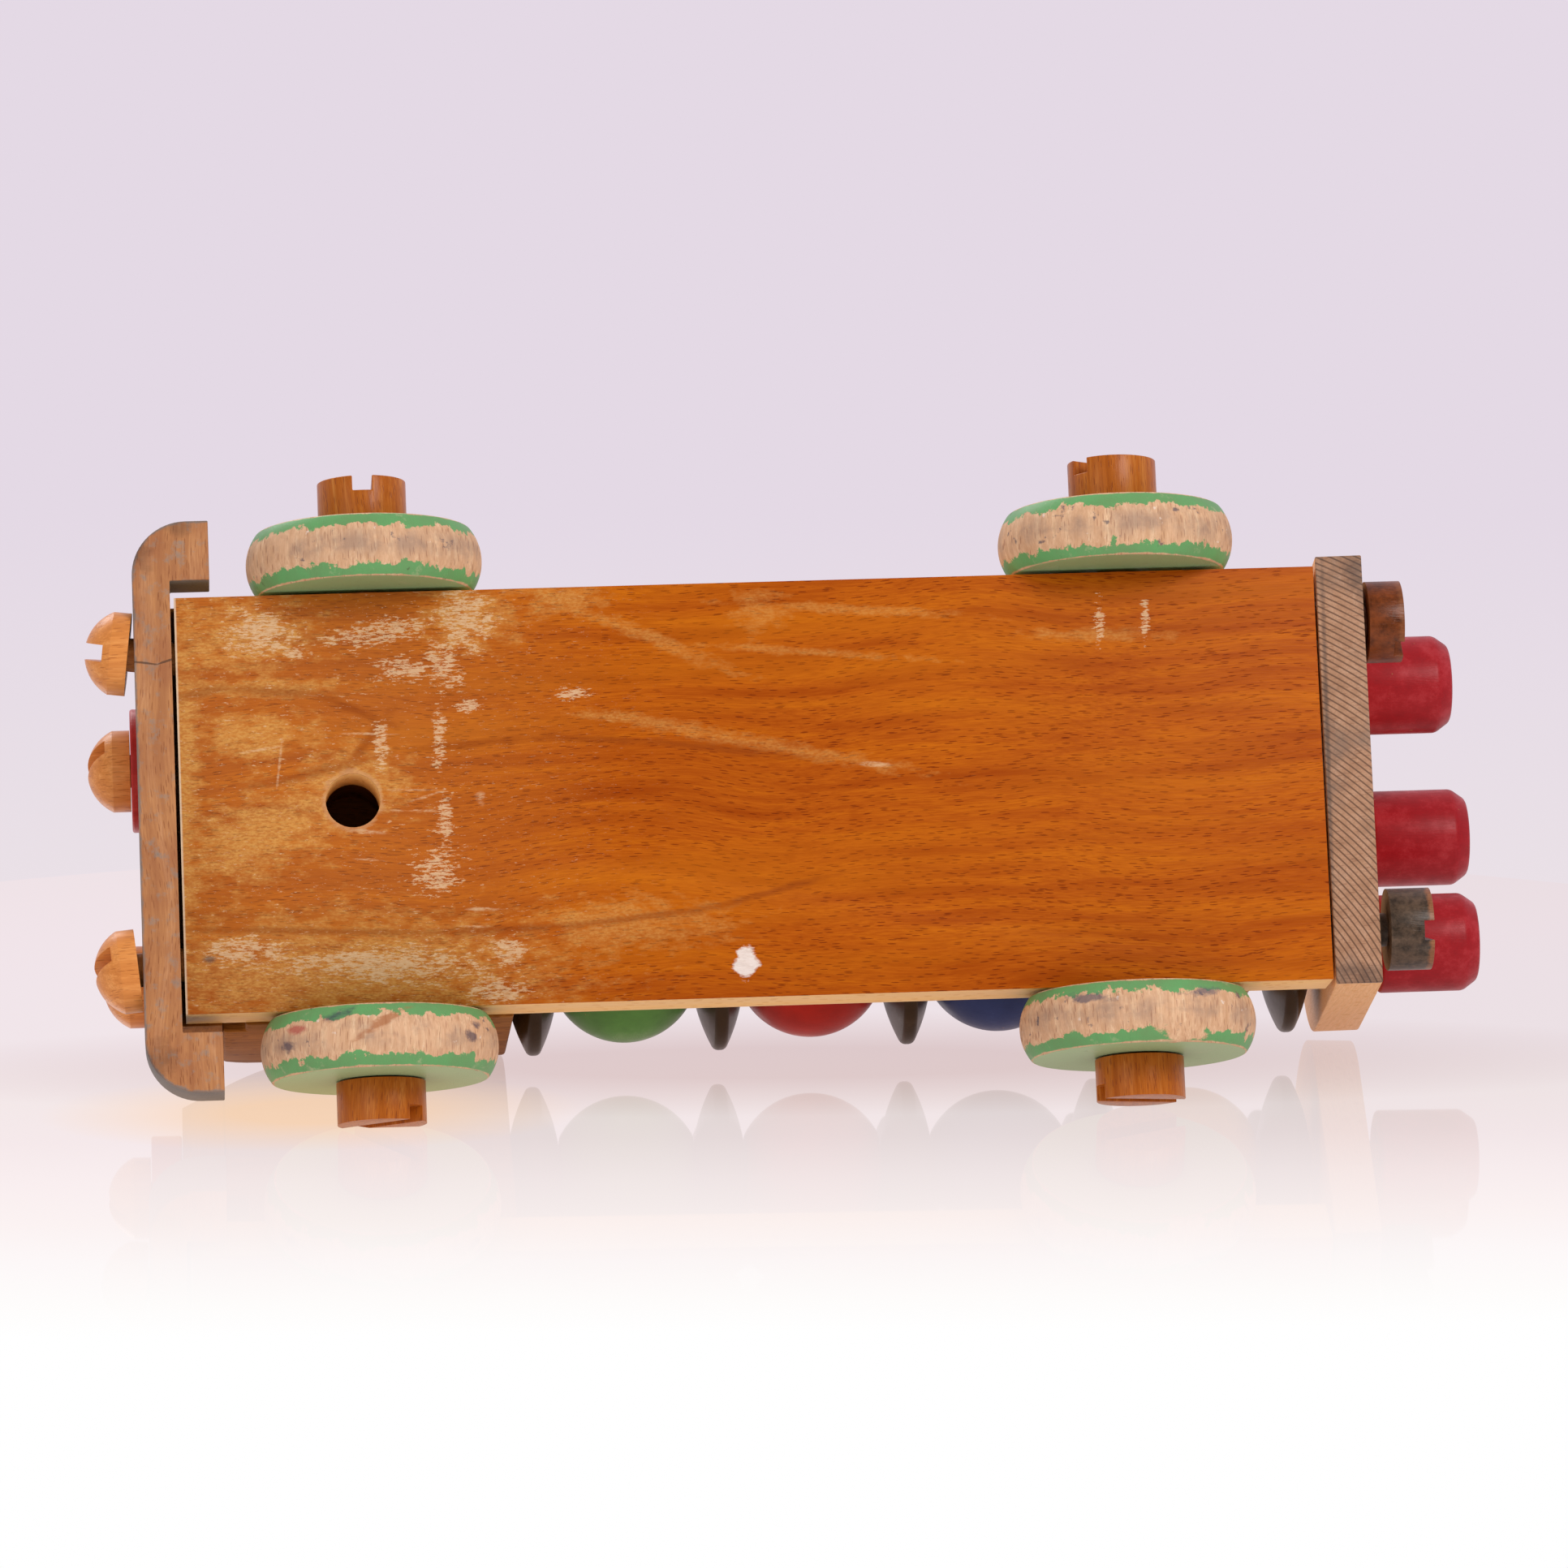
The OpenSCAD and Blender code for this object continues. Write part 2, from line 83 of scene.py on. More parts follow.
def from_frame(node, edge):
    """A sawn piece: the CAD solid of the same shape, copied, with its edges sanded."""
    piece = bpy.data.objects.new("sawn_" + node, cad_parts[node].data.copy())
    piece.data.materials.clear()
    bpy.context.scene.collection.objects.link(piece)
    only(piece)
    bpy.ops.object.mode_set(mode="EDIT")
    bpy.ops.mesh.select_all(action="SELECT")
    bpy.ops.mesh.remove_doubles(threshold=0.001 * MM)
    bpy.ops.mesh.dissolve_limited(angle_limit=radians(0.5))
    bpy.ops.object.mode_set(mode="OBJECT")
    return sanded(piece, edge)


def fit(piece, node, body, material):
    """Puts a finished piece in the place of its CAD node, on its body."""
    piece.data.materials.clear()
    piece.data.materials.append(material)
    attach(piece, body)
    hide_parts(node)


def linear(hexa):
    """An sRGB hex colour as linear red, green, blue and alpha."""
    parts = [int(hexa[i:i + 2], 16) / 255 for i in (1, 3, 5)]
    return [c / 12.92 if c <= 0.04045 else ((c + 0.055) / 1.055) ** 2.4 for c in parts] + [1]


def add(tree, kind, inputs=(), **settings):
    """Adds a node: inputs maps its sockets to values or to other nodes' outputs."""
    node = tree.nodes.new("ShaderNode" + kind)
    for name, value in settings.items():
        setattr(node, name, value)
    for key, value in dict(inputs).items():
        if isinstance(value, bpy.types.NodeSocket):
            tree.links.new(value, node.inputs[key])
        else:
            node.inputs[key].default_value = value
    return node


def per_mm(*sizes):
    """Mapping scale that gives a pattern these sizes in millimetres."""
    return tuple(1 / (size * MM) for size in sizes)


def tint(tree, colour, new, value, zero=0, one=1, low=0, high=1, blend="MIX"):
    """Lays a new colour over a colour, with a share of low...high where value is zero...one."""
    under, over = [linear(c) if isinstance(c, str) else c for c in (colour, new)]
    if (zero, one, low, high) != (0, 1, 0, 1):
        value = add(tree, "MapRange", {0: value, 1: zero, 2: one, 3: low, 4: high}).outputs[0]
    return add(tree, "Mix", {0: value, 6: under, 7: over}, data_type="RGBA", blend_type=blend).outputs[2]


def patches(tree, place, marks, ragged, soft=0.4):
    """Share of a surface in ragged oval patches, each (x, y, z, length, width, height, turn) in mm."""
    edge = add(tree, "Mapping", {"Vector": place, "Scale": per_mm(5, 2.5, 2.5)})
    torn = add(tree, "TexNoise", {"Vector": edge.outputs[0], "Scale": 1, "Detail": 5, "Roughness": 0.65})
    torn = add(tree, "MapRange", {0: torn.outputs[0], 1: 0.25, 2: 0.75, 3: -ragged, 4: ragged}).outputs[0]
    # Nine radii away, where no oval reaches
    nearest = 9.0
    for x, y, z, length, width, height, turn in marks:
        oval = add(tree, "Mapping", {
            "Vector": place, "Location": Vector((x, y, z)) * MM, "Rotation": (0, 0, radians(turn)),
            "Scale": Vector((length, width, height)) / 2 * MM}, vector_type="TEXTURE")
        away = add(tree, "VectorMath", {0: oval.outputs[0]}, operation="LENGTH").outputs["Value"]
        nearest = add(tree, "Math", {0: away, 1: nearest}, operation="MINIMUM").outputs[0]
    nearest = add(tree, "Math", {0: nearest, 1: torn}, operation="ADD").outputs[0]
    return add(tree, "MapRange", {0: nearest, 1: 1 + soft / 2, 2: 1 - soft / 2}).outputs[0]


def strokes(points, z, width, height=1.5):
    """Marks for patches() along a line through points, at height z, in mm."""
    marks = []
    for (x0, y0), (x1, y1) in zip(points, points[1:]):
        # A quarter longer than the way, so that one oval runs into the next
        length = hypot(x1 - x0, y1 - y0) * 1.25
        marks.append(((x0 + x1) / 2, (y0 + y1) / 2, z, length, width, height,
                      degrees(atan2(y1 - y0, x1 - x0))))
    return marks


def beech(name, dark, middle, light, turn=(0, 0, 0), fleck=0.45, streak=3.0):
    """Beech: straight streaks, fine pores and thin dark flecks 2 mm long, along X before turn."""
    material = bpy.data.materials.new(name)
    material.use_nodes = True
    tree = material.node_tree
    place = add(tree, "TexCoord").outputs["Object"]
    along = add(tree, "Mapping", {"Vector": place, "Rotation": turn}).outputs[0]
    sway = add(tree, "TexNoise", {"Vector": along, "Scale": 1 / (71.4 * MM), "Detail": 1})
    bent = add(tree, "VectorMath", {0: sway.outputs["Color"], 1: Vector((5, 12, 12)) * MM, 2: along},
               operation="MULTIPLY_ADD").outputs[0]
    wide = add(tree, "Mapping", {"Vector": bent, "Scale": per_mm(70, streak, streak)})
    streaks = add(tree, "TexNoise", {"Vector": wide.outputs[0], "Scale": 1, "Detail": 6,
                                     "Roughness": 0.62})
    ramp = add(tree, "ValToRGB", {"Fac": streaks.outputs[0]})
    first, last = ramp.color_ramp.elements
    first.position = 0.3
    first.color = linear(dark)
    last.position = 0.7
    last.color = linear(light)
    ramp.color_ramp.elements.new(0.5).color = linear(middle)
    # Pores, really under 0.1 mm wide, are drawn 0.35 mm wide so that they show
    thin = add(tree, "Mapping", {"Vector": bent, "Scale": per_mm(6, 0.35, 0.35)})
    pores = add(tree, "TexNoise", {"Vector": thin.outputs[0], "Scale": 1, "Detail": 2, "Roughness": 0.6})
    colour = tint(tree, ramp.outputs[0], dark, pores.outputs[0], 0.4, 0.65, 0.0, 0.6)
    # Flecks where the wood's rays are cut across
    short = add(tree, "Mapping", {"Vector": bent, "Scale": per_mm(4.5, 0.45, 4)})
    cells = add(tree, "TexVoronoi", {"Vector": short.outputs[0], "Scale": 1})
    flecks = add(tree, "MapRange", {0: cells.outputs["Distance"], 1: 0.27, 2: 0.2, 3: 0.0,
                                    4: fleck}).outputs[0]
    colour = tint(tree, colour, "#a06a50", flecks, blend="MULTIPLY")
    height = add(tree, "Math", {0: pores.outputs[0], 1: flecks}, operation="SUBTRACT").outputs[0]
    return material, tree, place, colour, height


def surface(tree, colour, rough, height, depth, gloss=0.25):
    """Gives the shader its colour, roughness and gloss, and a relief that is depth mm deep."""
    shader = tree.nodes["Principled BSDF"]
    bump = add(tree, "Bump", {"Height": height, "Strength": 1, "Distance": depth * MM})
    wanted = {"Base Color": colour, "Roughness": rough, "Normal": bump.outputs[0],
              "Specular IOR Level": gloss}
    for key, value in wanted.items():
        if isinstance(value, bpy.types.NodeSocket):
            tree.links.new(value, shader.inputs[key])
        else:
            shader.inputs[key].default_value = value


low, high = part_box("chassis_board")
BOARD_FOOT = low.z / MM
# Middle of the board's front end, on the ground
FRONT = Vector((high.x, (low.y + high.y) / 2, 0)) / MM


def underneath(marks, height):
    """Marks for patches() on the board's underside, from (x, y, length, width, turn)."""
    return [(x, y, BOARD_FOOT, length, width, height, turn) for x, y, length, width, turn in marks]


# Orange stain under thin old varnish: dark streaks and flecks show through, and it hardly shines
material, tree, place, colour, height = beech(
    "stained_varnished_beech", "#963e00", "#b05508", "#bf6408", fleck=0.75, streak=4)
along = add(tree, "SeparateXYZ", {0: place}).outputs[0]
WORN_FROM, WORN_TO = 30 * MM, 90 * MM
# Stain taken up unevenly along the grain
cloud = add(tree, "Mapping", {"Vector": place, "Scale": per_mm(120, 12, 12)})
cloud = add(tree, "TexNoise", {"Vector": cloud.outputs[0], "Scale": 1, "Detail": 3,
                               "Roughness": 0.5}).outputs[0]
colour = tint(tree, colour, "#c06a0a", cloud, 0.48, 0.7, 0, 0.4)
colour = tint(tree, colour, "#953c00", cloud, 0.48, 0.28, 0, 0.3)
# Stain rubbed thin to a golden brown, most of it towards the front end
colour = tint(tree, colour, "#c08a4c", along, 45 * MM, 100 * MM, 0, 0.16)
fine = add(tree, "Mapping", {"Vector": place, "Scale": per_mm(1, 0.5, 0.5)})
fine = add(tree, "TexNoise", {"Vector": fine.outputs[0], "Scale": 1, "Detail": 3,
                              "Roughness": 0.6}).outputs[0]
GOLDEN = [(148.5, 1, 6, 92, 2), (130.5, -8, 38, 15.6, -20), (132.5, 15.5, 24.5, 8.8, 2),
          (108.8, 3, 22, 13.6, 2), (111.6, -41.4, 84, 21, 2), (132.4, 39.3, 26, 13.6, 2),
          (79.3, 42.7, 17.7, 13.6, 2), (57, 46.3, 15, 6, 2), (131.4, 26.7, 35, 4, 2),
          (34.6, 35.4, 37, 2.8, 24), (10.3, 42.6, 10, 8.4, 2), (-9.9, 42, 43, 2, 5), (30, 14, 20, 3.2, 10),
          (7, 9, 53, 2.8, 12), (43.4, -32.5, 38, 10, 2), (-68, 34.0, 27, 2.6, 2), (-0.2, 31.9, 43, 1.5, 5),
          (44.6, 17.2, 15, 2.2, 6)]
golden = patches(tree, place, underneath(GOLDEN, 6), 1.1, 1.1)
broken = add(tree, "MapRange", {0: fine, 1: 0.38, 2: 0.62, 3: 0.35, 4: 0.88}).outputs[0]
golden = add(tree, "Math", {0: golden, 1: broken}, operation="MULTIPLY").outputs[0]
fading = add(tree, "MapRange", {0: along, 1: WORN_FROM, 2: WORN_TO, 3: 0.5, 4: 1}).outputs[0]
golden = add(tree, "Math", {0: golden, 1: fading}, operation="MULTIPLY").outputs[0]
colour = tint(tree, colour, "#cd944c", golden)
# Dark figure lines: a hook near the front, and two lines along the board
HOOK = [(150, 25), (139, 27), (117, 25), (101, 18), (108.7, 8), (127, 4.2)]
LOWER = [(150, -30.6), (92, -33.2), (58, -32.7), (24, -29.2), (0.6, -23.6)]
UPPER = [(92, 11), (66, 13), (35.5, 11), (7, 7)]
lines = (strokes(HOOK, BOARD_FOOT, 2.2) + strokes(LOWER, BOARD_FOOT, 1.5)
         + strokes(UPPER, BOARD_FOOT, 1.7))
lines = patches(tree, place, lines, 0.6, 1.2)
colour = tint(tree, colour, "#85390a", lines, 0, 1, 0, 0.55)
# Scuffs worn to pale wood, broken into short strokes
SCUFFED = [
    (129, 40, 17, 12, 2), (100.8, 39.5, 27, 6.8, -8), (95.5, 30.2, 15, 6, 2), (80.7, 42, 13.6, 16, -18),
    (86.6, 31, 9.5, 13, 2), (87.8, 13.5, 3, 17, 2), (87, -6, 4, 13, 2), (89.6, -18.5, 12, 12, 2),
    (101.6, 13, 3.4, 11.6, 2), (102, -40.7, 49, 8.8, 2), (75.5, -47.4, 15.6, 6, 2), (121, 35, 7.5, 3.4, 2),
    (134.7, -36.6, 22.4, 7.5, 2), (73, -38.5, 8.8, 8.2, 2), (80.7, 21, 7, 4, 2), (56, 23.3, 9, 3, 2),
    (-71, 37, 2.6, 11, 2), (-82, 37, 2.2, 10, 2)]
worn = patches(tree, place, underneath(SCUFFED, 6), 0.6, 1.1)
dashes = add(tree, "Mapping", {"Vector": place, "Scale": per_mm(1.8, 0.45, 0.45)})
dashes = add(tree, "TexNoise", {"Vector": dashes.outputs[0], "Scale": 1, "Detail": 6,
                                "Roughness": 0.7}).outputs[0]
scuffs = add(tree, "Math", {0: worn, 1: 0.2, 2: dashes}, operation="MULTIPLY_ADD").outputs[0]
scuffs = add(tree, "MapRange", {0: scuffs, 1: 0.65, 2: 0.71}).outputs[0]
inside = add(tree, "MapRange", {0: worn, 1: 0, 2: 0.15}).outputs[0]
scuffs = add(tree, "Math", {0: scuffs, 1: inside}, operation="MULTIPLY").outputs[0]
# Fine specks all over the front third
specks = add(tree, "MapRange", {0: dashes, 1: 0.61, 2: 0.67}).outputs[0]
fading = add(tree, "MapRange", {0: along, 1: WORN_FROM, 2: WORN_TO, 3: 0, 4: 0.9}).outputs[0]
specks = add(tree, "Math", {0: specks, 1: fading}, operation="MULTIPLY").outputs[0]
scuffs = add(tree, "Math", {0: scuffs, 1: specks}, operation="MAXIMUM").outputs[0]
# Single scratches and dents
SCRATCHES = [
    (125.9, 7.7, 0.6, 10, 8), (129.8, 12, 8.8, 0.5, -8), (105, 15, 11.6, 0.5, 2), (95, 1.2, 10, 0.5, 2),
    (91, -0.3, 7.5, 0.6, -18), (93.9, -3.8, 12, 0.5, 2), (105.7, -8.5, 7, 1, 5), (106, -15.2, 6, 0.5, 5),
    (79.6, -27.9, 7.5, 0.7, 2), (80.5, -32, 5.4, 0.5, 2), (78.7, -1, 2, 3, 2), (-15.3, 4.2, 6, 1, 2)]
scratched = patches(tree, place, underneath(SCRATCHES, 2), 0.8, 0.9)
broken = add(tree, "MapRange", {0: dashes, 1: 0.42, 2: 0.55, 3: 0.1, 4: 0.7}).outputs[0]
scratched = add(tree, "Math", {0: scratched, 1: broken}, operation="MULTIPLY").outputs[0]
scuffs = add(tree, "Math", {0: scuffs, 1: scratched}, operation="MAXIMUM").outputs[0]
pale = tint(tree, "#c69862", "#e2c5a4", fine)
colour = tint(tree, colour, pale, scuffs, 0, 1, 0, 0.8)
# A chip down to clean wood, a dark spot, and the worn rim of the bolt hole
chip = patches(tree, place, underneath([(16.9, -42.6, 5.4, 7, 12)], 4), 0.55, 0.3)
clean = tint(tree, "#c9b2a4", "#f6ede6", dashes)
colour = tint(tree, colour, clean, chip)
spot = patches(tree, place, underneath([(143.7, -38, 2.7, 1.5, 0)], 4), 0.5, 1)
colour = tint(tree, colour, "#5e4a44", spot, 0, 1, 0, 0.7)
rim = patches(tree, place, underneath([(108.7, -0.9, 14.4, 14.4, 0)], 5), 0.15, 0.12)
colour = tint(tree, colour, "#c79a72", rim, 0, 1, 0, 0.4)
# Light sides above the stained underside, and a painted highlight along the front edge, where the light
# catches its sanded bevel
up = add(tree, "SeparateXYZ", {0: place}).outputs[2]
side = add(tree, "Math", {0: fine, 1: 0.8 * MM, 2: up}, operation="MULTIPLY_ADD").outputs[0]
side = add(tree, "MapRange", {0: side, 1: (BOARD_FOOT + 0.7) * MM, 2: (BOARD_FOOT + 1.1) * MM}).outputs[0]
natural = tint(tree, "#efb86c", "#ffd28b", height, 0.2, 0.7)
colour = tint(tree, colour, natural, side, 0, 1, 0, 0.9)
# Painted highlight: a thin pale line on the front edge's bevel
colour = tint(tree, colour, "#e2cdb0", along, 149.1 * MM, 149.4 * MM, 0, 0.7)
rough = add(tree, "MapRange", {0: scuffs, 1: 0, 2: 1, 3: 0.4, 4: 0.62}).outputs[0]
surface(tree, colour, rough, height, 0.05, gloss=0.06)
fit(from_frame("chassis_board", 0.5), "chassis_board", "truck", material)

# Bumper. A strip of wood with its ends glued back as short hooks, painted grey and held by two
# bolts. The paint has worn off its lower face, and an old crack runs across the middle.

# Dull grey oil paint, rubbed to warm bare wood with a ragged edge, without any shine
material, tree, place, colour, height = beech(
    "worn_grey_paint_on_wood", "#a16840", "#b97f4f", "#c48f65", turn=(0, 0, radians(90)), streak=2.5)
torn = add(tree, "TexNoise", {"Vector": place, "Scale": 1 / (3.846 * MM), "Detail": 5,
                              "Roughness": 0.7}).outputs[0]
old = add(tree, "TexNoise", {"Vector": place, "Scale": 1 / (11.11 * MM), "Detail": 4}).outputs[0]
colour = tint(tree, colour, "#965a3a", old, 0.42, 0.7, 0, 0.6)
colour = tint(tree, colour, "#c3a284", torn, 0.55, 0.75, 0, 0.5)
# Paint everywhere above the bare lower face, and a line of it round the outer edge
up = add(tree, "SeparateXYZ", {0: place}).outputs[2]
above = add(tree, "Math", {0: torn, 1: 2.4 * MM, 2: up}, operation="MULTIPLY_ADD").outputs[0]
paint = add(tree, "MapRange", {0: above, 1: (BOARD_FOOT + 1.3) * MM,
                               2: (BOARD_FOOT + 1.9) * MM}).outputs[0]
CORNER = 13 * MM
# Middle of a rounded corner, with a height above all wood so that height has no say
CORNER_MIDDLE = (146.48 * MM, 55.6 * MM, 1)
outer = add(tree, "Mapping", {"Vector": place, "Location": (0, FRONT.y * MM, 0)}, vector_type="TEXTURE")
outer = add(tree, "VectorMath", {0: outer.outputs[0]}, operation="ABSOLUTE")
outer = add(tree, "VectorMath", {0: outer.outputs[0], 1: CORNER_MIDDLE}, operation="SUBTRACT")
outer = add(tree, "VectorMath", {0: outer.outputs[0], 1: (0, 0, 0)}, operation="MAXIMUM")
outer = add(tree, "VectorMath", {0: outer.outputs[0]}, operation="LENGTH").outputs["Value"]
outer = add(tree, "Math", {0: torn, 1: 2.2 * MM, 2: outer}, operation="MULTIPLY_ADD").outputs[0]
outer = add(tree, "MapRange", {0: outer, 1: CORNER + 0.4 * MM, 2: CORNER + 0.9 * MM, 3: 0,
                               4: 0.8}).outputs[0]
paint = add(tree, "Math", {0: paint, 1: outer}, operation="MAXIMUM").outputs[0]
grey = tint(tree, "#7d756f", "#6a6460", old, 0.35, 0.7)
colour = tint(tree, colour, grey, paint)
crack = patches(tree, place, strokes([(159.5, 34), (154, 33.2), (149.8, 34.6)], BOARD_FOOT, 0.5), 0.6)
SMUDGES = [(157, -62, 7, 9, 30), (158, 60, 5, 7, -30), (148, 66, 5, 3, 0)]
smudge = patches(tree, place, underneath(SMUDGES, 5), 0.7, 1.1)
faint = add(tree, "MapRange", {0: smudge, 1: 0, 2: 1, 3: 0, 4: 0.5}).outputs[0]
dark = add(tree, "Math", {0: crack, 1: faint}, operation="MAXIMUM").outputs[0]
colour = tint(tree, colour, "#4a3428", dark, 0, 1, 0, 0.75)
surface(tree, colour, 0.6, height, 0.06, gloss=0.2)
fit(from_frame("bumper", 0.7), "bumper", "truck", material)

# Cab. A shaped block behind a front board, both of brown varnished beech, standing on the
# chassis board; its windscreen slope and round top were cut with a band saw.

# Brown varnish gone flat with age: the grain shows through it, and it hardly glints. Its brown is also
# made darker as painted shade, the shade the cab's side lies in
BROWN_DARKENED_FOR_SHADE = ("#774615", "#8f5822", "#a5692e")
material, tree, place, colour, height = beech("brown_beech_darkened_for_shade", *BROWN_DARKENED_FOR_SHADE)
surface(tree, colour, 0.5, height, 0.04, gloss=0.03)
fit(from_frame("cab_block", 0.8), "cab_block", "truck", material)
# The same wood, varnish and painted shade, its grain upright
material, tree, place, colour, height = beech("brown_upright_beech_darkened_for_shade", *BROWN_DARKENED_FOR_SHADE,
                                              turn=(0, radians(90), 0))
surface(tree, colour, 0.5, height, 0.04, gloss=0.03)
fit(from_frame("cab_front_board", 0.8), "cab_front_board", "truck", material)

# Tailboard. A round-topped board of natural beech, bolted to the chassis board's rear end. Its
# growth rings show at its sawn foot, and handling has greyed it.

# Bare wood under a little oil: dull, brown and grimy on the foot, brighter on the long edges
material, tree, place, colour, height = beech(
    "natural_oiled_beech", "#9b7256", "#ae8365", "#ba9276", turn=(0, radians(90), 0), fleck=0.3)
# Growth rings round the tree's heart, which lies outside the board
RING = 1.35 * MM
HEART = (-60 * MM, -85 * MM, 0)
rings = add(tree, "Mapping", {"Vector": place, "Location": HEART}, vector_type="TEXTURE")
rings = add(tree, "TexWave", {"Vector": rings.outputs[0], "Scale": 2 * pi / 20 / RING, "Distortion": 1.2,
                              "Detail": 2, "Detail Scale": 0.02}, wave_type="RINGS", rings_direction="Z")
colour = tint(tree, colour, "#5c4030", rings.outputs["Fac"], 0.7, 0.95, 0, 0.85)
grime = add(tree, "TexNoise", {"Vector": place, "Scale": 1 / (16.67 * MM), "Detail": 5,
                               "Roughness": 0.7}).outputs[0]
colour = tint(tree, colour, "#6e5e54", grime, 0.52, 0.72, 0, 0.5)
# Dark smudges at the corners of its foot, and a narrow band of painted shade along its edge next to the
# board's end
SMUDGES = [(-133, 47.5, BOARD_FOOT, 13, 7, 6, 60), (-132, -51, BOARD_FOOT, 14, 5, 5, 10),
           # The last mark is painted shade along the seam with the board, drawn 1 mm wide
           (-124.4, 8, BOARD_FOOT, 1, 80, 5, 1)]
smudge = patches(tree, place, SMUDGES, 0.6, 1.2)
colour = tint(tree, colour, "#463a36", smudge, 0, 1, 0, 0.6)
# Brighter wood on its long edges, above the sawn foot
up = add(tree, "SeparateXYZ", {0: place}).outputs[2]
edge = add(tree, "Math", {0: grime, 1: 1 * MM, 2: up}, operation="MULTIPLY_ADD").outputs[0]
edge = add(tree, "MapRange", {0: edge, 1: (BOARD_FOOT + 1) * MM, 2: (BOARD_FOOT + 1.5) * MM}).outputs[0]
bright = tint(tree, "#e6a35d", "#f7bf88", height, 0.2, 0.7)
colour = tint(tree, colour, bright, edge, 0, 1, 0, 0.85)
surface(tree, colour, 0.5, height, 0.05, gloss=0.2)
fit(from_frame("tailboard", 0.6), "tailboard", "truck", material)

# Wheels. Turned from beech with a crowned tread and dipped in green paint, which the tread
# has lost where it rolls and the rims have lost where they rub.


def turned(name, profile, sides=96):
    """A piece turned on a lathe: profile is its section as (radius, height) in mm round Z."""
    bpy.ops.object.select_all(action="DESELECT")
    bpy.ops.mesh.primitive_circle_add(vertices=len(profile), radius=MM)
    piece = bpy.context.object
    piece.name = name
    for vertex, (radius, height) in zip(piece.data.vertices, profile):
        vertex.co = (radius * MM, 0, height * MM)
    bpy.ops.object.mode_set(mode="EDIT")
    bpy.ops.mesh.select_all(action="SELECT")
    bpy.ops.mesh.spin(steps=sides, angle=2 * pi, center=(0, 0, 0), axis=(0, 0, 1))
    bpy.ops.mesh.select_all(action="SELECT")
    bpy.ops.mesh.remove_doubles(threshold=0.002 * MM)
    bpy.ops.mesh.dissolve_degenerate(threshold=0.001 * MM)
    bpy.ops.mesh.select_all(action="SELECT")
    bpy.ops.mesh.normals_make_consistent(inside=False)
    bpy.ops.object.mode_set(mode="OBJECT")
    return piece


def arc(radius, height, reach, start, end, steps):
    """Points of an arc round (radius, height), from start to end degrees."""
    turns = [radians(start + (end - start) * k / steps) for k in range(steps + 1)]
    return [(radius + reach * cos(t), height + reach * sin(t)) for t in turns]


def copied(pattern, name, matrix):
    """A copy of a finished pattern with its own mesh, moved to its place on the truck."""
    piece = bpy.data.objects.new(name, pattern.data.copy())
    bpy.context.scene.collection.objects.link(piece)
    piece.data.transform(matrix)
    return piece


def middle(node):
    """Middle of a CAD node, in metres."""
    low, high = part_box(node)
    return (low + high) / 2


# Marks on the treads of the right wheels: a colour, or none for bare wood, and its patches
TREAD_MARKS = {
    "front_right": [
        ("#3f3b4e", [(114.7, -54.4, 2, 8, 2, 6, -12), (82.7, -59.2, 9.8, 3, 2, 4, 0),
                     (81.7, -56.8, 10.8, 2, 1.6, 4, 0), (125.7, -60.6, 10.4, 3, 2, 5, 0)]),
        ("#ad4a42", [(124.3, -56.9, 8.5, 4, 2.2, 5, 0)]),
        ("#a5663c", [(103.7, -56.6, 0, 14, 1.8, 6, -30)])],
    "rear_right": [
        (None, [(-86, -64.6, 2, 15, 4.4, 8, 0)]),
        ("#5b5660", [(-62, -55.6, 3.6, 13, 2, 8, 5), (-90, -55, 4, 9, 1.6, 8, -8)])]}
BORE, CROWN, CROWN_AT, WIDTH = 4.58, 12.046, 16.154, 15.2
FLANK, TREAD = 25.5 * MM, 26.2 * MM


